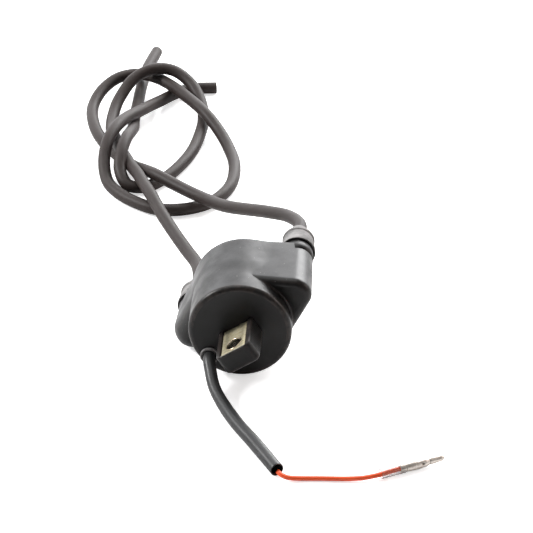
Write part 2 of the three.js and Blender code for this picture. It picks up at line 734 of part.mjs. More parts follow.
const SLEEVE = [
  [SLEEVE_PLACE.x, FRONT + 1.2, SLEEVE_PLACE.z],
  [SLEEVE_PLACE.x, FRONT - 4, SLEEVE_PLACE.z - 0.2],
  [-14.8, -31.7, 10.6],
  [-14, -35, 9],
  [-13.1, -39, 7.4],
  [-12, -43, 6],
  [-10.4, -47.5, 5],
  [-8.5, -52, 4.2],
  [-4, -62, 3.4],
  [-0.6, -69, 3.2],
  [3, -76, 3.2],
  [10, -88, 3.2],
  [13, -93.5, 3.2],
  [16, -99, 3.2],
  [23, -112, 3.2],
];
const ALONG = { x: Math.cos(BULLET_HEADING), y: Math.sin(BULLET_HEADING) };
const onBullet = (s, z = BULLET_PLACE.z) => [BULLET_PLACE.x + s * ALONG.x, BULLET_PLACE.y + s * ALONG.y, z];
const WIRE = [
  [23.3, -112.6, 3],
  [25, -114.4, 2.6],
  [26.8, -115.3, 2.1],
  [29, -115.6, 1.7],
  [32.5, -115.5, 1.45],
  [36, -115.2, 1.35],
  [40.5, -115, 1.35],
  [45, -114.8, 1.35],
  [50, -114.7, 1.35],
  [55, -114.6, 1.4],
  [59.5, -114.4, 1.55],
  [64, -114, 1.8],
  onBullet(-TERMINAL_SLEEVE_BEFORE, 2.5),
  onBullet(-4),
  onBullet(CRIMP_DEPTH - 1),
];
add(object, "primary_sleeve", cord(SLEEVE, SLEEVE_RADIUS, 12, 8), sleeveVinyl());
add(object, "primary_wire", cord(WIRE, WIRE_RADIUS, 8, 5), wireVinyl());

// The terminal on the end of the primary wire, and the clear sleeve over its barrel.
const plug = new THREE.Group();
plug.position.set(BULLET_PLACE.x, BULLET_PLACE.y, BULLET_PLACE.z);
plug.rotation.z = BULLET_HEADING - Math.PI / 2;
object.add(plug);

/** A bullet terminal: a barrel crimped on the wire, a swell, a step and the round-nosed bullet. */
function bulletTerminal() {
  const bore = WIRE_RADIUS + GAP;
  const barrel = bore + 0.4;
  const profile = [
    [bore, 0],
    [barrel, 0],
    [barrel, TERMINAL_SLEEVE_OVER + GAP],
    [CRIMP_RADIUS, TERMINAL_SLEEVE_OVER + 3],
    [CRIMP_RADIUS - 0.2, CRIMP_LENGTH - 3],
    [BULLET_RADIUS + 0.1, CRIMP_LENGTH],
    [BULLET_RADIUS - 0.4, CRIMP_LENGTH + 1],
    [BULLET_RADIUS, CRIMP_LENGTH + 2],
    [BULLET_RADIUS, BULLET_LENGTH - 2],
    [BULLET_RADIUS * 0.72, BULLET_LENGTH - 0.5],
    [0, BULLET_LENGTH],
    [0, CRIMP_DEPTH],
    [bore, CRIMP_DEPTH],
    [bore, 0],
  ];
  return turned(profile, { segments: 24 });
}
add(plug, "bullet_terminal", bulletTerminal(), tinPlate());
const sleeveInside = WIRE_RADIUS + 3 * GAP;
const clearTube = ring(
  sleeveInside,
  sleeveInside + TERMINAL_SLEEVE_WALL,
  -TERMINAL_SLEEVE_BEFORE,
  TERMINAL_SLEEVE_OVER,
  { segments: 24 },
);
add(plug, "terminal_sleeve", clearTube, clearVinyl());

export default object;
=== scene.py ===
# %% [markdown]
# # A twin-lead ignition coil, lying on a white table
#
# The coil is a moulded barrel with an arm on each side. A high tension lead leaves the rear of each
# arm through a tower and a rubber boot, and the two leads are laid in a loose tangle behind it. A
# primary wire leaves the front face inside a soft sleeve and ends in a bullet terminal. Every
# length is in metres. The CAD model comes first, and everything else takes its place from it.

# %% The frame
import json
import math

import bmesh
import bpy
import numpy as np
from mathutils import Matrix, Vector


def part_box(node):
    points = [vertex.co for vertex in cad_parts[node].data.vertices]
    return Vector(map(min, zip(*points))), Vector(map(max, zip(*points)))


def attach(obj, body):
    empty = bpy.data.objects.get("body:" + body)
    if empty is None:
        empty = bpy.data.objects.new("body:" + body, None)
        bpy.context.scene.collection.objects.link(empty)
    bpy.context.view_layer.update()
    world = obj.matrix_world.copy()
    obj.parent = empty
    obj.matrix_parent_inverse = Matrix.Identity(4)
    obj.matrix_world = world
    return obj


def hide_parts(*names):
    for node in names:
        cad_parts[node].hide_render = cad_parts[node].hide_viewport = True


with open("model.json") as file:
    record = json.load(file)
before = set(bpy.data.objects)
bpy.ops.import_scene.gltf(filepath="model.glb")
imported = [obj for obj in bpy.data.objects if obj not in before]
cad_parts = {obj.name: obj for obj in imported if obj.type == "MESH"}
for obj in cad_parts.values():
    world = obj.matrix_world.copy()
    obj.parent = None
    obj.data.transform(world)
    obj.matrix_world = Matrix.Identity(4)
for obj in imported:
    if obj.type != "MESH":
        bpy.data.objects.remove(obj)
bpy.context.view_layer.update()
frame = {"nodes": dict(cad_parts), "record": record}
nodes = frame["nodes"]
scene = bpy.context.scene
print("CAD nodes:", len(nodes))

# %% [markdown]
# ## Where things are
#
# The barrel lies on the table, so the height of its axis is also its radius. The axis is half way
# between the two boots, and the line through the boots says how far the coil has rolled over.
# Shapes are easiest to write upright, with the arms level, so they are worked out in the coil's own
# frame and turned by one function, which every piece of the coil passes through.

# %% Places from the frame


def middle(node):
    """The middle of a CAD node's box."""
    low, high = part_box(node)
    return (np.array(low) + np.array(high)) / 2


LEFT, RIGHT = middle("ht_boot_left"), middle("ht_boot_right")
AXIS = (LEFT + RIGHT) / 2
SPACING = np.linalg.norm(RIGHT - LEFT) / 2
ROLL = math.atan2(RIGHT[2] - LEFT[2], RIGHT[0] - LEFT[0])
BARREL_RADIUS = AXIS[2]
GROMMET_LIP = 0.0016
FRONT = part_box("primary_grommet")[0].y + GROMMET_LIP
REAR = -FRONT


def placed(points):
    """Points of the coil's own frame, turned by the roll round Y and lifted to the axis."""
    x, y, z = np.moveaxis(np.asarray(points, float), -1, 0)
    turned_x = x * math.cos(ROLL) - z * math.sin(ROLL)
    turned_z = x * math.sin(ROLL) + z * math.cos(ROLL)
    return np.stack([turned_x + AXIS[0], y, turned_z + AXIS[2]], -1)


print(f"barrel radius {BARREL_RADIUS:.4f}, arms {SPACING:.4f} from the axis, roll {math.degrees(ROLL):.1f}")

# %% [markdown]
# ## The camera
#
# A long lens from well above and in front: the front face shows its full disc, and the top of the
# barrel and the whole tangle of leads are seen over it.

# %% Camera
LENS, SENSOR = 0.17561, 0.036
CAMERA_AZIMUTH, CAMERA_ELEVATION = math.radians(3), math.radians(30)
CAMERA_DISTANCE = 1.3
CAMERA_TARGET = Vector((0.0125, -0.0074, 0.0544))

camera_data = bpy.data.cameras.new("camera")
camera_data.lens = LENS * 1000
camera_data.sensor_width = SENSOR * 1000
camera = bpy.data.objects.new("camera", camera_data)
scene.collection.objects.link(camera)
back = Vector(
    (
        math.sin(CAMERA_AZIMUTH) * math.cos(CAMERA_ELEVATION),
        -math.cos(CAMERA_AZIMUTH) * math.cos(CAMERA_ELEVATION),
        math.sin(CAMERA_ELEVATION),
    )
)
camera.location = CAMERA_TARGET + back * CAMERA_DISTANCE
camera.rotation_mode = "QUATERNION"
camera.rotation_quaternion = (-back).to_track_quat("-Z", "Y")
scene.camera = camera
print("camera at", [round(v, 4) for v in camera.location])

# %% [markdown]
# ## From a grid of points to a piece
#
# Nearly every shape here is a surface with two parameters: one along a profile or a path, and one
# round it. The points are worked out as one array of rows and columns. The columns join up into a
# ring, and the rows may also join up, as round a boot's wall. Neighbours make four-sided faces, and
# the sign of the enclosed volume tells whether they all have to be turned over. Merging the points
# that coincide closes the poles. Each point also carries an "edge" value, 1 on a rounded outer
# edge and -1 in a rounded inner corner, which the finishes use to place rubbing and dirt; on the
# case, the rubbed outer edges also get a painted highlight.

# %% Grid surfaces
MERGE = 1e-7


def surface(rows, edge=None, wrap=False):
    """The points, faces, UVs and edge values of a grid of points whose columns form rings.

    UV: u goes from 0 to 1 round the ring, and v is the distance in metres along the first column.
    """
    count, columns = rows.shape[:2]
    points = rows.reshape(-1, 3)
    row = np.arange(count if wrap else count - 1)[:, None]
    column = np.arange(columns)[None, :]
    after, beside = (row + 1) % count, (column + 1) % columns
    here, there = row * columns, after * columns
    faces = np.stack([here + column, here + beside, there + beside, there + column], -1).reshape(-1, 4)
    steps = np.linalg.norm(np.diff(rows[:, 0], axis=0, append=rows[:1, 0]), axis=-1)
    along = np.concatenate([[0], np.cumsum(steps)])
    u = np.stack([column, column + 1, column + 1, column], -1) / columns + row[..., None] * 0
    v = np.stack([along[row], along[row], along[row + 1], along[row + 1]], -1) + column[..., None] * 0
    uv = np.stack([u, v], -1).reshape(-1, 4, 2)
    a, b, c, d = (points[faces[:, i]] for i in range(4))
    volume = (a * np.cross(b, c)).sum() + (a * np.cross(c, d)).sum()
    if volume < 0:
        faces, uv = faces[:, ::-1], uv[:, ::-1]
    edge = np.zeros(count) if edge is None else np.asarray(edge, float)
    edge = np.broadcast_to(edge.reshape(count, -1), (count, columns))
    return {"points": points, "faces": faces, "uv": uv, "edge": edge.reshape(-1)}


def settled(name, mesh, slot, *replaced, body="coil", finish=None):
    """A smooth object of a mesh, riding on its body in the place of the CAD nodes it replaces."""
    mesh.polygons.foreach_set("use_smooth", np.ones(len(mesh.polygons), bool))
    mesh.materials.clear()
    mesh.materials.append(finish or FINISHES[slot])
    made = bpy.data.objects.new(name, mesh)
    scene.collection.objects.link(made)
    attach(made, body)
    if replaced:
        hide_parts(*replaced)
    print(f"{name}: {len(mesh.polygons)} faces")
    return made


def piece(name, parts, slot, *replaced, **others):
    """One object made of several surfaces, merged at their poles."""
    starts = np.cumsum([0] + [len(part["points"]) for part in parts])
    points = np.concatenate([part["points"] for part in parts])
    faces = np.concatenate([part["faces"] + start for part, start in zip(parts, starts)])
    mesh = bpy.data.meshes.new(name)
    mesh.from_pydata(points, [], faces.tolist())
    layer = mesh.uv_layers.new(name="UVMap")
    layer.data.foreach_set("uv", np.concatenate([part["uv"] for part in parts]).ravel())
    attribute = mesh.attributes.new("edge", "FLOAT", "POINT")
    attribute.data.foreach_set("value", np.concatenate([part["edge"] for part in parts]))
    work = bmesh.new()
    work.from_mesh(mesh)
    bmesh.ops.remove_doubles(work, verts=work.verts, dist=MERGE)
    work.to_mesh(mesh)
    work.free()
    return settled(name, mesh, slot, *replaced, **others)


print("points closer than this are merged:", MERGE)

# %% [markdown]
# ## Profiles with rounded corners
#
# A moulded or turned piece has no knife edges: every corner of its profile is a small arc. The
# profile is written as its few corners with a radius for each, and one function puts the arcs in.
# A support point just outside each arc keeps the flat next to it flat when it is shaded smooth.

# %% Rounded profiles
ARC_STEPS = 6
SUPPORT = 0.12  # of the radius


def rounded(corners, radii, closed=True, steps=ARC_STEPS):
    """A profile with an arc at each corner, and the edge value of each of its points.

    At a corner with a turn of angle t and a radius r, the arc starts r * tan(t / 2) before the
    corner, and its middle is at the distance r from both sides. The body is on the left.
    """
    corners = np.asarray(corners, float)
    points, edge = [], []
    for i, (corner, radius) in enumerate(zip(corners, radii)):
        ends = not closed and i in (0, len(corners) - 1)
        before, after = corners[i - 1], corners[(i + 1) % len(corners)]
        if ends or radius == 0:
            points.append(corner[None])
            edge.append([0])
            continue
        into, out = (corner - before), (after - corner)
        room = 0.49 * min(np.linalg.norm(into), np.linalg.norm(out))
        into, out = into / np.linalg.norm(into), out / np.linalg.norm(out)
        turn = math.atan2(into[0] * out[1] - into[1] * out[0], into @ out)
        reach = min(radius * math.tan(abs(turn) / 2), room)
        radius = reach / math.tan(abs(turn) / 2)
        left = np.array([-into[1], into[0]]) * math.copysign(1, turn)
        centre = corner - into * reach + left * radius
        angle = np.linspace(0, turn, steps + 1)[:, None]
        arm = -left * radius
        arc = centre + arm * np.cos(angle) + np.array([-arm[1], arm[0]]) * np.sin(angle)
        support = SUPPORT * reach
        points.append(np.concatenate([[arc[0] - into * support], arc, [arc[-1] + out * support]]))
        edge.append([0] + [math.copysign(1, turn)] * (steps + 1) + [0])
    return np.concatenate(points), np.concatenate(edge)


def turned(corners, radii, columns=96, centre=(0, 0), closed=True):
    """A surface of revolution: the profile of (radius, y) is carried round the line through centre."""
    profile, edge = rounded(corners, radii, closed)
    angle = np.linspace(0, 2 * math.pi, columns, endpoint=False)
    radius, y = profile[:, 0, None], profile[:, 1, None]
    x, z = centre[0] + radius * np.cos(angle), centre[1] + radius * np.sin(angle)
    return surface(placed(np.stack(np.broadcast_arrays(x, y, z), -1)), edge, wrap=closed)


unit_square = rounded([(0, 0), (1, 0), (1, 1), (0, 1)], [0.1] * 4)[0]
print("a square with rounded corners has", len(unit_square), "points")

# %% [markdown]
# ## Effects that several finishes share
#
# Moulded grain, rubbed edges, settled dust and fine scratches turn up on plastic, rubber and metal
# alike, so each is a node group, built once and placed in a material with its own values. They
# give out masks and heights only. The shader itself, and every value that is the same all over the
# piece, stays in the material. On the case, the rubbed edges' mask also places a painted highlight.

# %% Node helpers


def node(tree, kind, inputs=None, **settings):
    """A node with its settings, its inputs linked from a socket or set to a value."""
    made = tree.nodes.new(kind)
    for name, value in settings.items():
        setattr(made, name, value)
    for name, value in (inputs or {}).items():
        if isinstance(value, bpy.types.NodeSocket):
            tree.links.new(value, made.inputs[name])
        else:
            made.inputs[name].default_value = value
    return made


def maths(tree, operation, a, b=0.0, clamp=False):
    """The output of a Math node."""
    return node(tree, "ShaderNodeMath", {0: a, 1: b}, operation=operation, use_clamp=clamp).outputs[0]


def blended(tree, factor, a, b):
    """A colour between a and b."""
    return node(tree, "ShaderNodeMix", {0: factor, 6: a, 7: b}, data_type="RGBA").outputs[2]


def between(tree, factor, a, b):
    """A value between a and b."""
    return node(tree, "ShaderNodeMix", {0: factor, 2: a, 3: b}, data_type="FLOAT").outputs[0]


def ramped(tree, value, low, high):
    """0 below low, 1 above high and smooth between them."""
    inputs = {"Value": value, "From Min": low, "From Max": high}
    return node(tree, "ShaderNodeMapRange", inputs, interpolation_type="SMOOTHSTEP").outputs[0]


def noise(tree, vector, scale, detail=3.0, roughness=0.5):
    """A noise value about 0.5."""
    inputs = {"Vector": vector, "Scale": scale, "Detail": detail, "Roughness": roughness}
    return node(tree, "ShaderNodeTexNoise", inputs).outputs[0]


def shared_effect(name, inputs, outputs):
    """An empty node group with its sockets, and its two end nodes."""
    tree = bpy.data.node_groups.new(name, "ShaderNodeTree")
    for label, kind, value in inputs:
        socket = tree.interface.new_socket(label, in_out="INPUT", socket_type=kind)
        if value is not None:
            socket.default_value = value
    for label in outputs:
        tree.interface.new_socket(label, in_out="OUTPUT", socket_type="NodeSocketFloat")
    return tree, tree.nodes.new("NodeGroupInput").outputs, tree.nodes.new("NodeGroupOutput").inputs


VECTOR, NUMBER = "NodeSocketVector", "NodeSocketFloat"

# %% Moulded grain


def moulded_grain():
    """Height: fine grain with a slow unevenness under it. Mottle: broad patches, about 0.5."""
    tree, given, result = shared_effect(
        "moulded grain",
        [("Vector", VECTOR, None), ("Grain", NUMBER, 2500.0), ("Unevenness", NUMBER, 60.0)],
        ["Height", "Mottle"],
    )
    fine = noise(tree, given["Vector"], given["Grain"], 2.0, 0.6)
    slow = noise(tree, given["Vector"], given["Unevenness"], 2.0)
    height = maths(tree, "ADD", maths(tree, "MULTIPLY", fine, 0.25), maths(tree, "MULTIPLY", slow, 0.75))
    tree.links.new(height, result["Height"])
    tree.links.new(noise(tree, given["Vector"], given["Unevenness"], 5.0, 0.65), result["Mottle"])
    return tree


GRAIN = moulded_grain()
print("made:", GRAIN.name)

# %% Rubbed edges with a painted sheen, settled dust and scratches


def worn_edges_and_sheen():
    """Mask: rubbed outer edges, broken up by noise, where the case also gets a painted highlight. Crease:
    inner corners, where dirt stays.
    """
    tree, given, result = shared_effect(
        "worn edges and sheen", [("Vector", VECTOR, None), ("Scale", NUMBER, 260.0)], ["Mask", "Crease"]
    )
    edge = node(tree, "ShaderNodeAttribute", attribute_name="edge").outputs["Fac"]
    patches = ramped(tree, noise(tree, given["Vector"], given["Scale"], 4.0, 0.6), 0.35, 0.62)
    worn_and_sheen = maths(tree, "MULTIPLY", ramped(tree, edge, 0.05, 0.95), patches)
    tree.links.new(worn_and_sheen, result["Mask"])
    tree.links.new(ramped(tree, maths(tree, "MULTIPLY", edge, -1.0), 0.05, 0.95), result["Crease"])
    return tree


def settled_dust():
    """Mask: specks and a thin film, on what faces up."""
    tree, given, result = shared_effect(
        "settled dust",
        [("Vector", VECTOR, None), ("Specks", NUMBER, 700.0), ("Film", NUMBER, 0.3)],
        ["Mask"],
    )
    normal = node(tree, "ShaderNodeNewGeometry").outputs["Normal"]
    up = ramped(tree, node(tree, "ShaderNodeSeparateXYZ", {0: normal}).outputs["Z"], -0.1, 0.9)
    cells = node(tree, "ShaderNodeTexVoronoi", {"Vector": given["Vector"], "Scale": given["Specks"]})
    near = maths(tree, "SUBTRACT", 1.0, ramped(tree, cells.outputs["Distance"], 0.05, 0.2))
    chance = node(tree, "ShaderNodeSeparateColor", {0: cells.outputs["Color"]}).outputs[0]
    speck = maths(tree, "MULTIPLY", near, ramped(tree, chance, 0.86, 0.95))
    film = ramped(tree, noise(tree, given["Vector"], 90.0, 6.0, 0.7), 0.3, 0.75)
    film = maths(tree, "MULTIPLY", film, given["Film"])
    dust = maths(tree, "MULTIPLY", maths(tree, "ADD", film, speck, clamp=True), up)
    tree.links.new(dust, result["Mask"])
    return tree


def fine_scratches():
    """Mask: a few thin lines, which are noise drawn out along one direction."""
    tree, given, result = shared_effect(
        "fine scratches",
        [("Vector", VECTOR, None), ("Turn", VECTOR, (0.3, 0.2, 0.6)), ("Stretch", NUMBER, 40.0)],
        ["Mask"],
    )
    turn = node(tree, "ShaderNodeVectorRotate", {"Vector": given["Vector"]}, rotation_type="EULER_XYZ")
    tree.links.new(given["Turn"], turn.inputs["Rotation"])
    parts = node(tree, "ShaderNodeSeparateXYZ", {0: turn.outputs[0]}).outputs
    drawn = maths(tree, "DIVIDE", parts["X"], given["Stretch"])
    line = node(tree, "ShaderNodeCombineXYZ", {0: drawn, 1: parts["Y"], 2: parts["Z"]}).outputs[0]
    tree.links.new(ramped(tree, noise(tree, line, 1600.0, 2.0), 0.68, 0.74), result["Mask"])
    return tree


WEAR_AND_SHEEN, DUST, SCRATCHES = worn_edges_and_sheen(), settled_dust(), fine_scratches()
print("shared effects:", [group.name for group in bpy.data.node_groups])

# %% [markdown]
# A finish is a material with one Principled shader. Three helpers place the shared effects in it,
# lay a stain over a colour and connect the results to the shader.

# %% A material with its shader


def effect(tree, group, **inputs):
    """The outputs of a shared effect placed in a material."""
    return node(tree, "ShaderNodeGroup", inputs, node_tree=group).outputs


def new_finish(name, **constants):
    """A material, its tree, its Principled shader with the constants set, and Object coordinates."""
    made = bpy.data.materials.new(name)
    made.use_nodes = True
    tree = made.node_tree
    shader = tree.nodes["Principled BSDF"]
    for label, value in constants.items():
        shader.inputs[label.replace("_", " ")].default_value = value
    place = node(tree, "ShaderNodeTexCoord").outputs["Object"]
    return made, tree, shader, place


def stained(tree, color, mask, amount, stain):
    """A colour with an amount of a stain over it, where the mask is."""
    return blended(tree, maths(tree, "MULTIPLY", mask, amount), color, (*stain, 1))


def connect(tree, shader, color, rough, height, distance, strength=1.0):
    """Feeds the shader its colour, its roughness and a height, which is a share of the distance."""
    made = node(tree, "ShaderNodeBump", {"Height": height, "Distance": distance, "Strength": strength})
    tree.links.new(color, shader.inputs["Base Color"])
    tree.links.new(rough, shader.inputs["Roughness"])
    tree.links.new(made.outputs[0], shader.inputs["Normal"])


# %% [markdown]
# ## The finishes
#
# The case is a semi-gloss thermoset: nearly black from the front, grey where it mirrors the light
# above. Its rims are rubbed, with a brownish highlight painted on them, and a little dust lies on top.
# Each finish is kept under the name of its slot in the record.

# %% Case plastic and potting


def moulded_case():
    """Charcoal moulding with fine grain, rubbed edges with a painted brownish highlight, dirt in its corners
    and a little dust.
    """
    made, tree, shader, place = new_finish("moulded case", IOR=1.5, Specular_IOR_Level=0.28)
    grain = effect(tree, GRAIN, Vector=place)
    wear_and_sheen = effect(tree, WEAR_AND_SHEEN, Vector=place)
    dust = effect(tree, DUST, Vector=place, Specks=520.0, Film=0.08)
    scratch = effect(tree, SCRATCHES, Vector=place)
    color = blended(tree, grain["Mottle"], (0.006, 0.0055, 0.0053, 1), (0.009, 0.0082, 0.0078, 1))
    # painted highlight: the brownish sheen on the rounded rims, laid over their rubbing
    color = stained(tree, color, wear_and_sheen["Mask"], 0.45, (0.05, 0.037, 0.032))
    color = stained(tree, color, wear_and_sheen["Crease"], 0.5, (0.02, 0.013, 0.01))
    color = stained(tree, color, dust["Mask"], 0.5, (0.3, 0.29, 0.28))
    rough = between(tree, ramped(tree, grain["Mottle"], 0.35, 0.65), 0.3, 0.46)
    rough = between(tree, wear_and_sheen["Mask"], rough, 0.33)
    rough = between(tree, maths(tree, "MULTIPLY", scratch["Mask"], 0.6), rough, 0.6)
    rough = between(tree, dust["Mask"], rough, 0.85)
    connect(tree, shader, color, rough, grain["Height"], 0.00012, 0.5)
    return made


def potting():
    """Poured resin: dark, glossy and slightly wavy."""
    made, tree, shader, place = new_finish("potting resin", IOR=1.55, Coat_Weight=0.4, Coat_Roughness=0.1)
    grain = effect(tree, GRAIN, Vector=place, Grain=900.0, Unevenness=130.0)
    color = blended(tree, grain["Mottle"], (0.012, 0.011, 0.01, 1), (0.022, 0.019, 0.017, 1))
    rough = between(tree, grain["Mottle"], 0.15, 0.3)
    connect(tree, shader, color, rough, grain["Height"], 0.0002, 0.4)
    return made


FINISHES = {"case_plastic": moulded_case(), "resin": potting()}
print("finishes:", list(FINISHES))

# %% [markdown]
# Both rubbers are mottled and a little dusty. The boots' is lighter and chalky, and the leads' is a
# satin brown-grey.

# %% Rubber


def rubber(name, dark, light, dusty, film, rough, grain_scale):
    """Rubber: mottled between dark and light, with pale dust and a soft bloom."""
    made, tree, shader, place = new_finish(name, IOR=1.5, Specular_IOR_Level=0.3)
    grain = effect(tree, GRAIN, Vector=place, Grain=grain_scale, Unevenness=150.0)
    wear_and_sheen = effect(tree, WEAR_AND_SHEEN, Vector=place, Scale=500.0)
    dust = effect(tree, DUST, Vector=place, Specks=900.0, Film=film)
    color = blended(tree, grain["Mottle"], (*dark, 1), (*light, 1))
    color = stained(tree, color, wear_and_sheen["Mask"], 0.45, dusty)
    color = blended(tree, dust["Mask"], color, (*dusty, 1))
    rough = between(tree, grain["Mottle"], rough - 0.06, rough + 0.08)
    rough = between(tree, dust["Mask"], rough, 0.9)
    connect(tree, shader, color, rough, grain["Height"], 0.0001, 0.5)
    return made


boot_greys = (0.06, 0.057, 0.056), (0.12, 0.115, 0.112), (0.33, 0.32, 0.315)
lead_browns = (0.021, 0.0145, 0.0125), (0.035, 0.026, 0.0235), (0.13, 0.118, 0.112)
FINISHES["boot_rubber"] = rubber("boot rubber", *boot_greys, film=1.0, rough=0.62, grain_scale=1800.0)
FINISHES["lead_rubber"] = rubber("lead rubber", *lead_browns, film=0.1, rough=0.52, grain_scale=2600.0)
print("finishes:", list(FINISHES))

# %% [markdown]
# The vinyl pieces are smooth extrusions. The sleeve shows faint lines along its length, which read
# the UV map because they follow the bends. The clear one lets light through.

# %% Vinyl


def sleeve_vinyl():
    """Soft black vinyl, glossy, with faint lines drawn along it by the die."""
    made, tree, shader, place = new_finish("sleeve vinyl", IOR=1.5, Specular_IOR_Level=0.4)
    uv = node(tree, "ShaderNodeTexCoord").outputs["UV"]
    stretch = node(tree, "ShaderNodeMapping", {"Vector": uv, "Scale": (26.0, 30.0, 1.0)}).outputs[0]
    lines = noise(tree, stretch, 1.0, 3.0)
    grain = effect(tree, GRAIN, Vector=place, Grain=3000.0, Unevenness=240.0)
    dust = effect(tree, DUST, Vector=place, Specks=900.0, Film=0.1)
    color = blended(tree, grain["Mottle"], (0.012, 0.012, 0.0125, 1), (0.022, 0.022, 0.0225, 1))
    color = stained(tree, color, dust["Mask"], 0.5, (0.3, 0.3, 0.3))
    rough = between(tree, lines, 0.34, 0.5)
    drawn, grained = maths(tree, "MULTIPLY", lines, 0.4), maths(tree, "MULTIPLY", grain["Height"], 0.6)
    connect(tree, shader, color, rough, maths(tree, "ADD", drawn, grained), 0.00015, 0.6)
    return made


def wire_vinyl():
    """Orange-red wire insulation, a little darker where it has been handled."""
    made, tree, shader, place = new_finish("wire vinyl", IOR=1.52)
    grain = effect(tree, GRAIN, Vector=place, Grain=2500.0, Unevenness=180.0)
    color = blended(tree, grain["Mottle"], (1.0, 0.13, 0.03, 1), (0.9, 0.09, 0.02, 1))
    rough = between(tree, grain["Mottle"], 0.28, 0.42)
    connect(tree, shader, color, rough, grain["Height"], 0.00006, 0.4)
    return made


def clear_vinyl():
    """Clear soft vinyl: it lets light through, with a slightly uneven surface."""
    made, tree, shader, place = new_finish("clear vinyl", IOR=1.4, Transmission_Weight=0.95)
    grain = effect(tree, GRAIN, Vector=place, Grain=800.0, Unevenness=300.0)
    color = blended(tree, grain["Mottle"], (0.93, 0.92, 0.9, 1), (0.99, 0.985, 0.975, 1))
    rough = between(tree, grain["Mottle"], 0.08, 0.25)
    connect(tree, shader, color, rough, grain["Height"], 0.0001, 0.3)
    return made


FINISHES |= {"sleeve_vinyl": sleeve_vinyl(), "wire_vinyl": wire_vinyl(), "clear_vinyl": clear_vinyl()}
print("finishes:", list(FINISHES))

# %% [markdown]
# The metals share one recipe: bright with duller patches, rubbed on the outer edges and dirty in the
# inner corners. The core is zinc-plated steel with a yellowish passivation. Its layers between the top
# and the bottom one get a darker copy of it, a painted shade, and a lighter copy paints a highlight on
# the burr. The bullet terminal is tin-plated.

# %% Metals


def worn_metal(name, bright, dull, scale, low, high, depth):
    """Metal: bright with duller patches, a broken grain in it and dark inner corners."""
    made, tree, shader, place = new_finish(name, Metallic=1.0)
    grain = effect(tree, GRAIN, Vector=place, Grain=scale, Unevenness=420.0)
    wear_and_sheen = effect(tree, WEAR_AND_SHEEN, Vector=place, Scale=700.0)
    scratch = effect(tree, SCRATCHES, Vector=place, Stretch=25.0)
    patches = ramped(tree, grain["Mottle"], 0.3, 0.7)
    color = blended(tree, patches, (*dull, 1), (*bright, 1))
    color = blended(tree, wear_and_sheen["Mask"], color, (*(min(1.0, c * 1.25) for c in bright), 1))
    color = stained(tree, color, wear_and_sheen["Crease"], 0.7, (0.08, 0.06, 0.045))
    rough = between(tree, scratch["Mask"], between(tree, patches, high, low), low * 0.7)
    connect(tree, shader, color, rough, grain["Height"], depth, 0.6)
    return made


METALS = {
    "core_steel": ("plated steel", (0.5, 0.46, 0.33), (0.33, 0.29, 0.19), 2200.0, 0.42, 0.6, 0.00014),
    "tin_plate": ("tin plate", (0.86, 0.8, 0.74), (0.62, 0.56, 0.5), 2600.0, 0.38, 0.55, 0.0001),
    "brass": ("brass", (0.68, 0.48, 0.18), (0.5, 0.33, 0.11), 2400.0, 0.22, 0.4, 0.00006),
}
FINISHES |= {slot: worn_metal(*values) for slot, values in METALS.items()}
# painted shade: a darker copy of the steel, for the layers between the top and the bottom one
SHADED_STEEL = worn_metal("shaded steel", (0.2, 0.18, 0.15), (0.08, 0.07, 0.06), 2200.0, 0.45, 0.65, 0.0001)
# painted highlight: a lighter copy of the steel, for the burr round the bolt hole
HIGHLIGHT_STEEL = worn_metal("highlight steel", (0.95, 0.8, 0.62), (0.7, 0.55, 0.4), 2400.0, 0.22, 0.35, 0.00005)
print("finishes:", list(FINISHES), SHADED_STEEL.name, HIGHLIGHT_STEEL.name)

# %% [markdown]
# The windings and the insulation are hidden in the case, but a cut model or another view may show
# them, so they get a finish too.

# %% Windings, bobbins and insulation


def winding_copper():
    """Enamelled copper wire, wound side by side: fine rings along the barrel's axis."""
    made, tree, shader, place = new_finish("enamelled copper", Metallic=1.0, Coat_Weight=0.5)
    along = node(tree, "ShaderNodeSeparateXYZ", {0: place}).outputs["Y"]
    rings = maths(tree, "ABSOLUTE", maths(tree, "SINE", maths(tree, "MULTIPLY", along, 9000.0)))
    color = blended(tree, rings, (0.2, 0.05, 0.02, 1), (0.62, 0.22, 0.09, 1))
    connect(tree, shader, color, between(tree, rings, 0.5, 0.25), rings, 0.0002)
    return made


def plain_moulding(name, dark, light, rough):
    """A matte natural material: mottled, with fine grain."""
    made, tree, shader, place = new_finish(name)
    grain = effect(tree, GRAIN, Vector=place, Grain=1500.0, Unevenness=200.0)
    color = blended(tree, grain["Mottle"], (*dark, 1), (*light, 1))
    rough = between(tree, grain["Mottle"], rough - 0.1, rough + 0.1)
    connect(tree, shader, color, rough, grain["Height"], 0.0001, 0.5)
    return made


FINISHES |= {
    "copper_wire": winding_copper(),
    "bobbin_plastic": plain_moulding("bobbin nylon", (0.5, 0.44, 0.31), (0.6, 0.54, 0.4), 0.55),
    "insulating_paper": plain_moulding("varnished paper", (0.55, 0.38, 0.1), (0.7, 0.53, 0.2), 0.45),
}
print("finishes:", list(FINISHES))

# %% [markdown]
# ## Cords
#
# A lead is a tube: a ring of points carried along a smooth path. The path is a centripetal
# Catmull-Rom curve through chosen points, the same curve that the CAD model uses, so that the tube
# lies where the CAD says. In each piece of it, the position is a cubic whose slopes at both ends
# come from the neighbouring points, weighted by the square root of their distances. No cord here
# ever points straight up, so a ring can always be set up between the path's direction and the
# vertical, without any twist.

# %% Paths and tubes


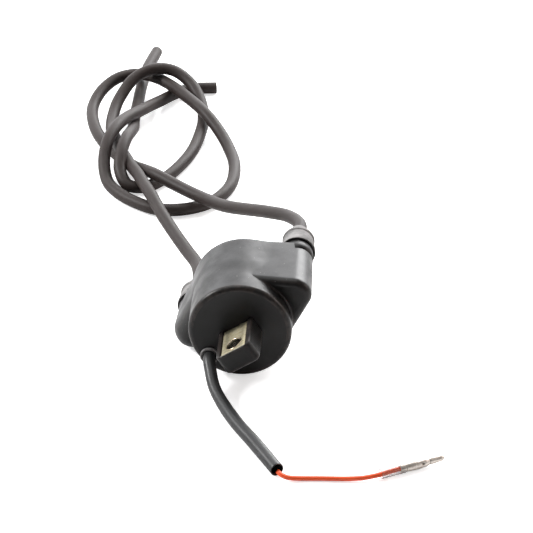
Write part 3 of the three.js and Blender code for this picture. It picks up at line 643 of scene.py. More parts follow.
def smooth_path(points, step):
    """Evenly spaced points on the centripetal Catmull-Rom curve through the given points."""
    given = np.asarray(points, float)
    whole = np.concatenate([2 * given[:1] - given[1:2], given, 2 * given[-1:] - given[-2:-1]])
    p0, p1, p2, p3 = whole[:-3], whole[1:-2], whole[2:-1], whole[3:]
    d0, d1, d2 = (np.sqrt(np.linalg.norm(b - a, axis=1))[:, None] for a, b in ((p0, p1), (p1, p2), (p2, p3)))
    m1 = ((p1 - p0) / d0 - (p2 - p0) / (d0 + d1) + (p2 - p1) / d1) * d1
    m2 = ((p2 - p1) / d1 - (p3 - p1) / (d1 + d2) + (p3 - p2) / d2) * d1
    t = np.linspace(0, 1, 33)[:-1, None, None]
    cubic = p1 + m1 * t + (3 * (p2 - p1) - 2 * m1 - m2) * t**2 + (2 * (p1 - p2) + m1 + m2) * t**3
    dense = np.concatenate([cubic.transpose(1, 0, 2).reshape(-1, 3), given[-1:]])
    along = np.concatenate([[0], np.cumsum(np.linalg.norm(np.diff(dense, axis=0), axis=1))])
    even = np.linspace(0, along[-1], max(3, round(along[-1] / step) + 1))
    return np.stack([np.interp(even, along, dense[:, i]) for i in range(3)], -1)


def unit(vectors):
    """Vectors of length 1."""
    return vectors / np.linalg.norm(vectors, axis=-1, keepdims=True)


def tube(path, radius, start, end, columns, wobble=0.0, swell=0.0):
    """A ring of the given radius carried along a path.

    start and end are the ends' own profiles, lists of (distance along the path, radius), where 0
    is the path's end. wobble is the share by which the radius swells and shrinks along the way, and
    swell is the share by which the whole ring is larger, at each point of the path.
    """
    tangent = unit(np.gradient(path, axis=0))
    counts = [len(start)] + [1] * (len(path) - 2) + [len(end)]
    at = np.repeat(np.arange(len(path)), counts)
    shift = np.concatenate([[s for s, _ in start], np.zeros(len(path) - 2), [s for s, _ in end]])
    length = np.arange(len(path) - 2) * np.linalg.norm(path[1] - path[0])
    waves = 1 + wobble * (np.sin(length * 190) + np.sin(length * 83 + 1)) / 2
    radii = np.concatenate([[r for _, r in start], radius * waves, [r for _, r in end]])
    radii = radii * (1 + np.broadcast_to(swell, len(path))[at])
    centre = path[at] + shift[:, None] * tangent[at]
    side = unit(np.cross(tangent[at], (0, 0, 1)))
    top = np.cross(side, tangent[at])
    angle = np.linspace(0, 2 * math.pi, columns, endpoint=False)[None, :, None]
    ring = side[:, None] * np.cos(angle) + top[:, None] * np.sin(angle)
    return surface(centre[:, None] + radii[:, None, None] * ring)


LIP_STEPS = 5


def round_lip(radius, edge, sign):
    """The end of a bar: a quarter circle from its side to its end face."""
    angle = np.linspace(0, math.pi / 2, LIP_STEPS + 1)
    return list(zip(sign * edge * (np.sin(angle) - 1), radius - edge * (1 - np.cos(angle))))


print("rings in a cord's rounded end:", len(round_lip(1, 0.1, 1)))

# %% [markdown]
# ## The high tension leads
#
# Two 7 mm rubber leads. Each goes straight into its boot, bends back down to the table and is laid
# in the loose tangle that both make together, passing over itself and the other in low humps. Both
# ends are cut off square, with the edge a little rounded and the core showing in the middle.

# %% Lead routes
LEAD_RADIUS = 0.0035
LEAD_CORE = 0.0009
CUT_EDGE = 0.0006
LEAD_STEP = 0.002
LEAD_COLUMNS = 40

LEAD_LEFT = [
    (LEFT[0], 0.0183, LEFT[2]),
    (LEFT[0], 0.042, LEFT[2]),
    (LEFT[0], 0.057, LEFT[2]),
    (-0.029, 0.073, 0.008),
    (-0.036, 0.09, 0.007),
    (-0.044, 0.107, 0.0078),
    (-0.052, 0.124, 0.0096),
    (-0.06, 0.143, 0.0117),
    (-0.066, 0.158, 0.0116),
    (-0.07, 0.168, 0.0117),
    (-0.075, 0.179, 0.011),
    (-0.0795, 0.19, 0.011),
    (-0.0835, 0.2, 0.0112),
    (-0.087, 0.211, 0.0112),
    (-0.09, 0.224, 0.0088),
    (-0.0925, 0.24, 0.0048),
    (-0.093, 0.256, 0.005),
    (-0.0905, 0.27, 0.009),
    (-0.083, 0.283, 0.0155),
    (-0.072, 0.29, 0.0188),
    (-0.06, 0.291, 0.0177),
    (-0.049, 0.284, 0.013),
    (-0.042, 0.271, 0.0077),
    (-0.039, 0.255, 0.004),
    (-0.0395, 0.235, 0.0038),
    (-0.043, 0.21, 0.0038),
    (-0.05, 0.189, 0.0038),
    (-0.057, 0.176, 0.0038),
    (-0.066, 0.167, 0.0038),
    (-0.0755, 0.1665, 0.005),
    (-0.0808, 0.1745, 0.0105),
    (-0.0806, 0.1855, 0.0169),
    (-0.0792, 0.1975, 0.0189),
    (-0.0782, 0.213, 0.0152),
    (-0.0784, 0.23, 0.0094),
    (-0.08, 0.25, 0.005),
    (-0.08, 0.272, 0.0039),
    (-0.08, 0.298, 0.0038),
    (-0.0785, 0.324, 0.0038),
    (-0.075, 0.347, 0.0038),
]
LEAD_RIGHT = [
    (RIGHT[0], 0.0183, RIGHT[2]),
    (RIGHT[0], 0.042, RIGHT[2]),
    (RIGHT[0], 0.057, RIGHT[2]),
    (0.02, 0.073, 0.039),
    (0.009, 0.087, 0.0335),
    (-0.017, 0.119, 0.019),
    (-0.03, 0.138, 0.0131),
    (-0.045, 0.1535, 0.0116),
    (-0.06, 0.167, 0.0122),
    (-0.0675, 0.178, 0.009),
    (-0.075, 0.191, 0.0044),
    (-0.086, 0.206, 0.0038),
    (-0.097, 0.225, 0.0038),
    (-0.104, 0.246, 0.0038),
    (-0.1065, 0.267, 0.0044),
    (-0.102, 0.284, 0.0077),
    (-0.093, 0.2945, 0.0106),
    (-0.081, 0.298, 0.0114),
    (-0.07, 0.293, 0.0113),
    (-0.06, 0.2825, 0.0114),
    (-0.049, 0.2665, 0.0115),
    (-0.038, 0.248, 0.0116),
    (-0.029, 0.235, 0.0072),
    (-0.021, 0.216, 0.0039),
    (-0.0165, 0.194, 0.0038),
    (-0.018, 0.169, 0.0038),
    (-0.027, 0.151, 0.0038),
    (-0.041, 0.142, 0.0038),
    (-0.056, 0.141, 0.0038),
    (-0.07, 0.149, 0.0038),
    (-0.081, 0.16, 0.0039),
    (-0.088, 0.172, 0.0048),
    (-0.091, 0.185, 0.0105),
    (-0.09, 0.197, 0.0167),
    (-0.087, 0.209, 0.0192),
    (-0.0825, 0.225, 0.0178),
    (-0.0755, 0.245, 0.013),
    (-0.068, 0.271, 0.0058),
    (-0.051, 0.294, 0.0038),
    (-0.034, 0.297, 0.0038),
]

print("points on the leads' routes:", len(LEAD_LEFT), len(LEAD_RIGHT))

# %% [markdown]
# Each lead is one tube, with seven strands of its core in a small pocket at the cut end.

# %% Lead tubes
CORE_RECESS = 0.0004
TOWER_END = 0.038


def lead_end(sign):
    """A cut end: the rounded edge, the end face, and the pocket that the core's strands sit in."""
    face = [(0, LEAD_CORE + 0.0002), (-sign * CORE_RECESS, LEAD_CORE), (-sign * CORE_RECESS, 0)]
    return round_lip(LEAD_RADIUS, CUT_EDGE, sign) + face


def core_strands(path, radius):
    """Seven strands of the core, one in the middle and six round it, at the path's last point."""
    direction = unit(path[-1] - path[-2])
    side = unit(np.cross(direction, (0, 0, 1)))
    top = np.cross(side, direction)
    strand = radius / 3
    angle = np.arange(6) * math.pi / 3
    ring = 2 * strand * (side * np.cos(angle)[:, None] + top * np.sin(angle)[:, None])
    middles = np.concatenate([[np.zeros(3)], ring])
    tip = round_lip(strand, strand * 0.4, 1) + [(0, 0)]
    root = [(0, 0), (0, strand)]
    short = path[-1] + direction * np.linspace(-0.004, -0.0001, 3)[:, None]
    return [tube(short + at, strand, root, tip, 12) for at in middles]


def high_tension_lead(side, points):
    """A lead along the given points on its side of the coil, with the strands at its cut end."""
    path = smooth_path(points, LEAD_STEP)
    rings = tube(path, LEAD_RADIUS, lead_end(-1)[::-1], lead_end(1), LEAD_COLUMNS, wobble=0.006)
    lead = piece(f"lead_{side}", [rings], "lead_rubber", f"ht_lead_{side}")
    core = piece(f"lead_core_{side}", core_strands(path, LEAD_CORE), "tin_plate")


high_tension_lead("left", LEAD_LEFT)
high_tension_lead("right", LEAD_RIGHT)

# %% [markdown]
# ## The primary lead
#
# A soft vinyl sleeve comes out of the grommet, droops to the table and ends open. The red wire in
# it goes on to the bullet terminal. The sleeve is a real tube: its end turns in over the wall and
# runs back inside, so that it looks dark in its mouth. The route is one piece of cord for the
# sleeve and one for the wire, because each has its own thickness.

# %% Primary routes
SLEEVE_RADIUS = 0.003
SLEEVE_WALL = 0.0005
WIRE_RADIUS = 0.0012
BULLET_HEADING = math.radians(28)
BULLET_PLACE = np.array([0.081, -0.107, 0.0027])
ALONG = np.array([math.cos(BULLET_HEADING), math.sin(BULLET_HEADING), 0])

EXIT = middle("primary_grommet")
SLEEVE = [
    (EXIT[0], -0.0233, EXIT[2]),
    (EXIT[0], -0.0285, EXIT[2] - 0.0002),
    (-0.0148, -0.0317, 0.0106),
    (-0.014, -0.035, 0.009),
    (-0.0131, -0.039, 0.0074),
    (-0.012, -0.043, 0.006),
    (-0.0104, -0.0475, 0.005),
    (-0.0085, -0.052, 0.0042),
    (-0.004, -0.062, 0.0034),
    (-0.0006, -0.069, 0.0032),
    (0.003, -0.076, 0.0032),
    (0.01, -0.088, 0.0032),
    (0.013, -0.0935, 0.0032),
    (0.016, -0.099, 0.0032),
    (0.023, -0.112, 0.0032),
]


def on_bullet(distance, height=BULLET_PLACE[2]):
    """A point on the terminal's axis, measured from its open end."""
    x, y, _ = BULLET_PLACE + distance * ALONG
    return (x, y, height)


WIRE = [
    (0.0233, -0.1126, 0.003),
    (0.025, -0.1144, 0.0026),
    (0.0268, -0.1153, 0.0021),
    (0.029, -0.1156, 0.0017),
    (0.0325, -0.1155, 0.00145),
    (0.036, -0.1152, 0.00135),
    (0.0405, -0.115, 0.00135),
    (0.045, -0.1148, 0.00135),
    (0.05, -0.1147, 0.00135),
    (0.055, -0.1146, 0.0014),
    (0.0595, -0.1144, 0.00155),
    (0.064, -0.114, 0.0018),
    on_bullet(-0.01, 0.0025),
    on_bullet(-0.004),
    on_bullet(0.005),
]
print("points on the sleeve's and the wire's routes:", len(SLEEVE), len(WIRE))

# %% [markdown]
# The sleeve is a little wider over its free length than where the grommet grips it. It rises with
# its radius there, so that it still lies on the table.

# %% Sleeve
SLEEVE_SWELL = 0.13
SWELL_START, SWELL_RUN = 12, 20  # points of the path
THROAT = 0.014
SLEEVE_PATH = smooth_path(SLEEVE, 0.0015)
inside = SLEEVE_RADIUS - SLEEVE_WALL
lip = round_lip(SLEEVE_RADIUS, SLEEVE_WALL / 2, 1)
turned_in = [(along, 2 * (SLEEVE_RADIUS - SLEEVE_WALL / 2) - r) for along, r in lip[::-1]]
throat = [(-THROAT, inside), (-THROAT, 0)]
start = [(0, 0), (0, SLEEVE_RADIUS)]
swell = SLEEVE_SWELL * np.clip((np.arange(len(SLEEVE_PATH)) - SWELL_START) / SWELL_RUN, 0, 1)
sleeve_path = SLEEVE_PATH + np.stack([0 * swell, 0 * swell, swell * SLEEVE_RADIUS], -1)
sleeve_rings = tube(sleeve_path, SLEEVE_RADIUS, start, lip + turned_in[1:] + throat, 40, 0.02, swell)
sleeve = piece("sleeve", [sleeve_rings], "sleeve_vinyl", "primary_sleeve")

# %% Wire
WIRE_PATH = smooth_path(WIRE, 0.001)
closed_end = [(0, WIRE_RADIUS), (0, 0)]
wire_rings = tube(WIRE_PATH, WIRE_RADIUS, closed_end[::-1], closed_end, 24, wobble=0.01)
wire = piece("wire", [wire_rings], "wire_vinyl", "primary_wire")

# %% [markdown]
# ## The bullet terminal
#
# A tin-plated bullet: a barrel crimped on the wire, a small swell, a neck and a round-nosed pin. It
# is turned from its profile and then pressed out of round: two flutes run along the barrel where
# the crimping tool has bitten, and a small inspection hole is punched through its wall.

# %% Terminal
TERMINAL_COLUMNS = 72


def on_terminal(corners, radii, columns=TERMINAL_COLUMNS, press=None):
    """A surface of revolution about the terminal's axis. press changes the radius by place."""
    profile, edge = rounded(corners, radii)
    angle = np.linspace(0, 2 * math.pi, columns, endpoint=False)
    radius, s = np.broadcast_arrays(profile[:, 0, None], profile[:, 1, None])
    radius, s = np.broadcast_arrays(radius, s + 0 * angle)
    if press is not None:
        radius = press(radius, s, angle)
    side, up = np.array([ALONG[1], -ALONG[0], 0]), np.array([0, 0, 1])
    ring = side * np.cos(angle)[:, None] + up * np.sin(angle)[:, None]
    rows = BULLET_PLACE + s[..., None] * ALONG + radius[..., None] * ring
    return surface(rows, edge, wrap=True)


def with_rows(corners, radii, spacing):
    """Adds plain points along the straight runs of a profile, so that it can be pressed."""
    found, rounding = [], []
    for i, corner in enumerate(corners):
        after = np.array(corners[(i + 1) % len(corners)])
        parts = max(1, int(np.linalg.norm(after - corner) / spacing))
        for j in range(parts):
            found.append(np.array(corner) + (after - corner) * j / parts)
            rounding.append(radii[i] if j == 0 else 0)
    return found, rounding


def crimped(radius, s, angle):
    """The barrel's two flutes and the punched hole, as dents that fade out smoothly."""
    outer = np.clip((radius - 0.0015) / 0.0003, 0, 1)
    bite = np.exp(-(((s - 0.0102) / 0.0018) ** 2)) * outer
    flutes = np.exp(-(((angle - math.pi / 2) / 0.42) ** 2)) * 0.0006
    swell = 0.00018 * np.cos(2 * angle)
    hole_at, hole_angle = 0.0118, 0.35
    away = np.hypot(s - hole_at, (angle - hole_angle) * 0.0026)
    hole = 0.0011 * (1 - np.clip((away - 0.0005) / 0.0002, 0, 1)) * outer
    return radius - bite * flutes - bite * swell - hole


CRIMP_RADIUS = 0.0026
BARREL = 0.0019
PIN = 0.0017
terminal_corners = [
    (0.0015, 0),
    (0.0015, 0.006),
    (0.0002, 0.0062),
    (0.0002, 0.0234),
    (0.0011, 0.0238),
    (PIN - 0.0001, 0.0226),
    (PIN + 0.0002, 0.0164),
    (PIN - 0.0001, 0.0158),
    (PIN + 0.0003, 0.0151),
    (CRIMP_RADIUS - 0.0003, 0.0135),
    (CRIMP_RADIUS - 0.0001, 0.008),
    (CRIMP_RADIUS - 0.0003, 0.0036),
    (BARREL, 0.0031),
    (BARREL, 0),
]
terminal_radii = [0.0002, 0.0001, 0, 0, 0.0005, 0.0012, 0.0003, 0.0002]
terminal_radii += [0.0003, 0.0012, 0.002, 0.0006, 0.0002, 0.00015]
corners, radii = with_rows(terminal_corners[::-1], terminal_radii[::-1], 0.0003)
terminal_rings = on_terminal(corners, radii, press=crimped)
terminal = piece("bullet", [terminal_rings], "tin_plate", "bullet_terminal")

# %% [markdown]
# A clear sleeve is pushed over the terminal's open end and some of the wire. It is turned about the
# same axis.

# %% Clear sleeve
CLEAR_INSIDE = 0.0021
CLEAR_OUTSIDE = 0.0025
CLEAR_START, CLEAR_END = -0.01, 0.003
clear_corners = [
    (CLEAR_INSIDE, CLEAR_END),
    (CLEAR_INSIDE, CLEAR_START),
    (CLEAR_OUTSIDE, CLEAR_START),
    (CLEAR_OUTSIDE, CLEAR_END),
]
clear_rings = on_terminal(clear_corners, [0.00015] * 4, columns=48)
clear_sleeve = piece("clear_sleeve", [clear_rings], "clear_vinyl", "terminal_sleeve")

# %% [markdown]
# ## The case
#
# Seen along its axis, the case is a disc with an arm on each side, and the arms' outline is a band
# drawn tight round the barrel and two small discs. Any ray from the axis crosses that outline once,
# so the whole case can be one surface in polar form: for each angle, a profile of radius and y
# that goes out over the front face, round the rim, back along the barrel, out over the arm's
# face, back along the arm's side, and in over the rear. Where there is no arm, the arm's stretch of
# the profile shrinks to nothing, and merging the points that coincide removes it.

# %% The arms' outline
ARM_SINK = 0.0006  # of the band below the barrel's surface
ARM_BLEND = 0.003
ARM_FRONT_RADIUS, ARM_REAR_RADIUS = 0.0089, 0.008
ARM_SETBACK, ARM_LEAN = 0.008, 0.01
ARM_EDGE = 0.004
LOWER_FALL, LOWER_INSET = 0.012, 0.0088
ARM_FILLET = 0.0011
BAND = BARREL_RADIUS - ARM_SINK


def band_distance(x, z, end):
    """How far a point is outside the band round the barrel and the two end discs.

    Beside a straight run it is the distance from a line, and round a disc it is the distance from
    the disc's middle less its radius. Inside the band it is negative.
    """
    x, z = np.abs(x), np.abs(z)
    slope = (BAND - end) / SPACING
    run = math.sqrt(1 - slope**2)
    k = run * x - slope * z
    line = run * z + slope * x - BAND
    round_end = np.hypot(x - SPACING, z) - end
    return np.where(k < 0, np.hypot(x, z) - BAND, np.where(k > run * SPACING, round_end, line))


def band_radius(angle, end):
    """The distance from the axis to the band's outline at an angle."""
    c, s = np.abs(np.cos(angle)), np.abs(np.sin(angle))
    slope = (BAND - end) / SPACING
    run = np.sqrt(1 - slope**2)
    line = BAND / (run * s + slope * c)
    round_end = SPACING * c + np.sqrt(np.maximum(end**2 - (SPACING * s) ** 2, 0))
    past = (run * c - slope * s) * line
    return np.where(past < 0, BAND, np.where(past > run * SPACING, round_end, line))


def outer_radius(angle, end, blend=1e-6):
    """The larger of the barrel and the band, with a hollow fillet of the size blend between them.

    The table cuts it off, at the height over the sine of the slope, so that nothing is below it.
    """
    band = band_radius(angle, end)
    share = np.clip(0.5 + 0.5 * (band - BARREL_RADIUS) / blend, 0, 1)
    joined = BARREL_RADIUS + (band - BARREL_RADIUS) * share + blend * share * (1 - share)
    return np.minimum(joined, BARREL_RADIUS / np.maximum(-np.sin(angle + ROLL), 0.1))


print(f"the band reaches {float(band_radius(0, ARM_FRONT_RADIUS)):.4f} from the axis")

# %% The case's surface
CASE_COLUMNS = 320
BARREL_EDGE = 0.0026
REAR_EDGE = 0.001
CAVITY = BARREL_RADIUS - 0.0032
FRONT_WALL = 0.0035
CROWD = 0.6  # how much closer the columns are at the arms


def arm_face(x, angle):
    """The y of the arms' flat face, and how far its rounded edge reaches back and in.

    The face is one plane that leans back towards the lower arm, where its edge is a longer curve.
    """
    lower = np.clip(0.5 - 1.6 * np.cos(angle), 0, 1)
    upper = 1 - lower
    face = FRONT + ARM_SETBACK + ARM_LEAN * (SPACING - x) / (2 * SPACING)
    return face, ARM_EDGE * upper + LOWER_FALL * lower, ARM_EDGE * upper + LOWER_INSET * lower


def face_height(radius, angle):
    """The y of the arms' front face: flat, and rounded off towards the outline by an ellipse."""
    x, z = radius * np.cos(angle), radius * np.sin(angle)
    depth = -band_distance(x, z, ARM_FRONT_RADIUS)
    face, reach, inset = arm_face(x, angle)
    over = np.clip(1 - depth / inset, 0, 1)
    return face + reach * (1 - np.sqrt(1 - over**2))


def case_rows():
    """The points of the case, row by row from the front's middle to the inside, and edge values.

    Each row is a radius and a y at every angle. The angles are closer together at the arms.
    """
    even = np.linspace(0, 2 * math.pi, CASE_COLUMNS, endpoint=False)
    angle = even - CROWD * np.sin(2 * even) / 2
    flat = 0 * angle
    rows = []

    def add(radius, y, edge=0.0):
        rows.append((radius + flat, y + flat, edge + flat))

    for share in np.linspace(0, 1, 9):
        add((BARREL_RADIUS - BARREL_EDGE) * share * 0.995, FRONT)
    # the front rim: its edge value places rubbing and a painted brownish highlight
    for t in np.linspace(0, math.pi / 2, 13):
        inset = BARREL_EDGE * (1 - math.sin(t))
        add(BARREL_RADIUS - inset, FRONT + BARREL_EDGE * (1 - math.cos(t)), 1.0)

    outline = outer_radius(angle, ARM_FRONT_RADIUS)
    rise = np.maximum(outline - BARREL_RADIUS, 0)
    fillet = np.minimum(ARM_FILLET, rise * 0.4)
    foot = face_height(BARREL_RADIUS + flat, angle)
    side_start = FRONT + BARREL_EDGE
    for share in np.linspace(0.04, 1, 10):
        add(BARREL_RADIUS, side_start + (foot - fillet - side_start) * share)
    for t in np.linspace(0, math.pi / 2, 7)[1:]:
        radius = BARREL_RADIUS + fillet * (1 - math.cos(t))
        add(radius, face_height(radius, angle) - fillet * (1 - math.sin(t)), -np.clip(rise / 0.003, 0, 1))
    start = BARREL_RADIUS + fillet
    for t in np.linspace(0, math.pi / 2, 22)[1:]:
        radius = outline - (outline - start) * (1 - math.sin(t))
        depth = -band_distance(radius * np.cos(angle), radius * np.sin(angle), ARM_FRONT_RADIUS)
        # the arms' rounded front edge: a band of edge value that places rubbing and a painted brownish
        # highlight
        worn_and_sheen = np.clip(1 - np.abs(depth - 0.0012) / 0.0012, 0, 1) * np.clip(rise / 0.004, 0, 1)
        add(radius, np.where(rise > 0, face_height(radius, angle), foot), worn_and_sheen * 0.7)
    for share in np.linspace(0.03, 1, 14):
        end = ARM_FRONT_RADIUS + (ARM_REAR_RADIUS - ARM_FRONT_RADIUS) * share
        start_y = sum(arm_face(outline * np.cos(angle), angle)[:2])
        blend = max(ARM_BLEND * min(1.0, 3 * share), 1e-6)
        add(outer_radius(angle, end, blend), start_y + (REAR - REAR_EDGE - start_y) * share)
    rear = outer_radius(angle, ARM_REAR_RADIUS, ARM_BLEND)
    for t in np.linspace(0, math.pi / 2, 7)[1:]:
        add(rear - REAR_EDGE * (1 - math.cos(t)), REAR - REAR_EDGE * (1 - math.sin(t)), 1.0)
    for share in np.linspace(0.02, 1, 5):
        add(rear - REAR_EDGE + (CAVITY + 0.0004 - rear + REAR_EDGE) * share, REAR)
    for y in (REAR - 0.0004, 0, FRONT + FRONT_WALL):
        add(CAVITY, y)
    add(0, FRONT + FRONT_WALL)
    radius, y, edge = (np.array([row[i] for row in rows]) for i in range(3))
    points = np.stack([radius * np.cos(angle), y, radius * np.sin(angle)], -1)
    return placed(points), edge


case_points, case_edge = case_rows()
case_surface = surface(case_points, case_edge)
print("rows and columns of the case:", case_edge.shape)

# %% [markdown]
# ## Towers and bosses
#
# A tower is turned, with a small flare at its root and a bore for the lead. A boss is the block
# that carries the end of the core: a tray that is open at the top, with a bolt hole through its
# floor. Everything in it can be seen from the middle of the hole, so it too is a polar surface: the
# rings are the hole, the tray's outline and the block's outline, one after another.

# %% Towers
TOWER_RADIUS = 0.0074
TOWER_BORE = 0.0038
SEAL_SEAT = 0.0055
SEAL_DEPTH = 0.0053
TOWER_ROOT = REAR - 0.006


def tower(sign):
    """A tower at the rear of one arm."""
    root = ARM_REAR_RADIUS + 0.0002
    corners = [
        (TOWER_BORE, TOWER_ROOT),
        (root, TOWER_ROOT),
        (root, REAR - 0.0005),
        (TOWER_RADIUS + 0.0001, REAR + 0.008),
        (TOWER_RADIUS, TOWER_END),
        (SEAL_SEAT, TOWER_END),
        (SEAL_SEAT, TOWER_END - SEAL_DEPTH),
        (TOWER_BORE, TOWER_END - SEAL_DEPTH),
    ]
    radii = [0, 0, 0.004, 0.004, 0.0008, 0.0003, 0, 0.0002]
    return turned(corners, radii, columns=72, centre=(sign * SPACING, 0))


towers = [tower(-1), tower(1)]
print(f"towers end at {TOWER_END:.4f}")

# %% Bosses
CORE_HALF_WIDTH = 0.0069
CORE_HALF = 0.0037
HOLE_Y = 0.0405
HOLE_RADIUS = 0.0049
BLOCK_HALF_WIDTH = 0.0098
BLOCK_END = 0.0491
BLOCK_START = 0.022
BLOCK_TOP = CORE_HALF + 0.0007
BLOCK_BOTTOM = -0.0066
BLOCK_EDGE = 0.0016
BLOCK_CORNER = 0.0034
TRAY_FLOOR = -0.004
TRAY_STEP = 0.0029
TRAY_HALF_WIDTH = CORE_HALF_WIDTH + 0.0003
TRAY_LOW_END, TRAY_END = 0.0474, 0.0481
TRAY_RIM = 0.0003
LIP_EDGE = 0.0009


def outline_round_hole(half, end, corner, angle):
    """The distance from the hole's middle to a rounded rectangle, at each angle."""
    corners = [(-half, -BLOCK_START), (-half, -end), (half, -end), (half, -BLOCK_START)]
    line = rounded(corners, [0, corner, corner, 0], steps=10)[0]
    nxt = np.roll(line, -1, axis=0)
    share = np.linspace(0, 1, 12, endpoint=False)[:, None, None]
    dense = (line + (nxt - line) * share).transpose(1, 0, 2).reshape(-1, 2) + (0, HOLE_Y)
    turn = np.arctan2(dense[:, 1], dense[:, 0])
    order = np.argsort(turn)
    return np.interp(angle, turn[order], np.hypot(*dense.T)[order], period=2 * math.pi)


def boss(direction):
    """The block round one end of the core; direction is -1 at the front and 1 at the rear."""
    corner_turns = [
        math.atan2(y + HOLE_Y, x)
        for half, end in ((BLOCK_HALF_WIDTH, BLOCK_END), (TRAY_HALF_WIDTH, TRAY_END))
        for x in (-half, half)
        for y in (-end, -BLOCK_START)
    ]
    angle = np.unique(np.concatenate([np.linspace(-math.pi, math.pi, 240, endpoint=False), corner_turns]))
    hole = HOLE_RADIUS + 0 * angle
    low_tray = outline_round_hole(TRAY_HALF_WIDTH, TRAY_LOW_END, 0.0004, angle)
    tray = outline_round_hole(TRAY_HALF_WIDTH, TRAY_END, 0.0005, angle)

    def block(inset):
        half, end = BLOCK_HALF_WIDTH - inset, BLOCK_END - inset
        return outline_round_hole(half, end, BLOCK_CORNER - min(inset, BLOCK_CORNER / 2), angle)

    rings = [
        (hole + 0.0003, BLOCK_BOTTOM, 0),
        (hole, BLOCK_BOTTOM + 0.0003, 1),
        (hole, TRAY_FLOOR - 0.0003, 0),
        (hole + 0.0003, TRAY_FLOOR, 1),
        (low_tray - 0.0002, TRAY_FLOOR, 0),
        (low_tray, TRAY_FLOOR + 0.0002, -1),
        (low_tray, TRAY_STEP - 0.0002, 0),
        (low_tray + 0.0001, TRAY_STEP, 1),
        (tray - 0.0001, TRAY_STEP, -1),
        (tray, TRAY_STEP + 0.0002, 0),
    ]
    for t in np.linspace(0, math.pi / 2, 5):
        rings.append((tray + TRAY_RIM * (1 - math.cos(t)), BLOCK_TOP - TRAY_RIM * (1 - math.sin(t)), 1))
    for t in np.linspace(0, math.pi / 2, 7):
        rings.append((block(LIP_EDGE * (1 - math.sin(t))), BLOCK_TOP - LIP_EDGE * (1 - math.cos(t)), 1))
    side = (BLOCK_TOP - LIP_EDGE, BLOCK_BOTTOM + BLOCK_EDGE)
    for share in (0.03, 0.35, 0.65, 0.97):
        rings.append((block(0), side[0] + (side[1] - side[0]) * share, 0))
    for t in np.linspace(0, math.pi / 2, 9):
        rings.append((block(BLOCK_EDGE * (1 - math.cos(t))), side[1] - BLOCK_EDGE * math.sin(t), 0.8))
    rings.append((block(BLOCK_EDGE + 0.0003), BLOCK_BOTTOM, 0))
    radius = np.stack([ring for ring, _, _ in rings])
    height = np.array([z for _, z, _ in rings])[:, None] + 0 * angle
    x = radius * np.cos(angle)
    y = direction * (HOLE_Y - radius * np.sin(angle))
    edge = np.array([worn_and_sheen for _, _, worn_and_sheen in rings], float)
    return surface(placed(np.stack([x, y, height], -1)), edge, wrap=True)


piece("case", [case_surface, *towers, boss(-1)], "case_plastic", "case_shell")

# %% [markdown]
# The rear of the barrel is closed by a disc with a shallow groove near its rim. It carries the rear
# boss, which is the front one turned about.

# %% Rear cover
COVER_BACK, COVER_FRONT = REAR - 0.0008, REAR - 0.0038
cover_corners = [
    (0, COVER_FRONT),
    (CAVITY - 0.0003, COVER_FRONT),
    (CAVITY - 0.0003, COVER_BACK),
    (CAVITY - 0.0022, COVER_BACK),
    (CAVITY - 0.0026, COVER_BACK - 0.0006),
    (CAVITY - 0.0036, COVER_BACK - 0.0006),
    (CAVITY - 0.004, COVER_BACK),
    (0, COVER_BACK),
]
cover_radii = [0, 0.0002, 0.0005, 0.0003, 0.0003, 0.0003, 0.0003, 0]
cover_disc = turned(cover_corners, cover_radii, columns=144, closed=False)
piece("cover", [cover_disc, boss(1)], "case_plastic", "case_cover")

# %% [markdown]
# ## The core
#
# The laminations are stamped steel strips. Their CAD shape is right, so each is a copy of its CAD
# node with the points merged and the stamped edges broken by a small bevel. On the top one, the
# hole's edge has a wider chamfer, which catches the light.

# %% Laminations


SHARP = math.radians(40)
STAMPED_EDGE = 0.00008
RIM_CHAMFER = 0.0004
RIM_REACH = 0.0043  # from the middle of the hole


def sharp_edges(work):
    """The edges whose two faces turn by more than the sharp angle."""
    return [edge for edge in work.edges if len(edge.link_faces) == 2 and edge.calc_face_angle() > SHARP]


def broken_edges(name, source, finish, is_rim=None):
    """A copy of a CAD node with every sharp edge bevelled, and the hole's rim wider."""
    mesh = nodes[source].data.copy()
    mesh.name = name
    work = bmesh.new()
    work.from_mesh(mesh)
    bmesh.ops.remove_doubles(work, verts=work.verts, dist=1e-6)
    bevel = {"profile": 0.5, "affect": "EDGES"}
    if is_rim:
        rims = [edge for edge in sharp_edges(work) if is_rim(edge)]
        bmesh.ops.bevel(work, geom=rims, offset=RIM_CHAMFER, segments=3, **bevel)
    sharp = sharp_edges(work)
    bmesh.ops.bevel(work, geom=sharp, offset=STAMPED_EDGE, segments=2, clamp_overlap=True, **bevel)
    work.to_mesh(mesh)
    work.free()
    settled(name, mesh, "core_steel", source, finish=finish)
    mesh.set_sharp_from_angle(angle=math.radians(30))


UP = placed([[0, 0, 1]])[0] - placed([[0, 0, 0]])[0]


def top_rim(edge):
    """Whether an edge is on the rim of a bolt hole, on the upper face of the top lamination."""
    for vertex in edge.verts:
        place = np.array(vertex.co) - (0, 0, AXIS[2])
        height = place @ UP
        across = place[0] * math.cos(ROLL) + place[2] * math.sin(ROLL)
        from_hole = math.hypot(across, abs(place[1]) - HOLE_Y)
        if height < CORE_HALF - 0.0001 or from_hole > RIM_REACH:
            return False
    return True


for i in range(1, 8):
    # the layers between the top and the bottom one take the darker copy of the steel: painted shade between
    # the layers
    steel = FINISHES["core_steel"] if i in (1, 7) else SHADED_STEEL
    broken_edges(f"lamination_{i}", f"core_lamination_{i}", steel, top_rim if i == 1 else None)
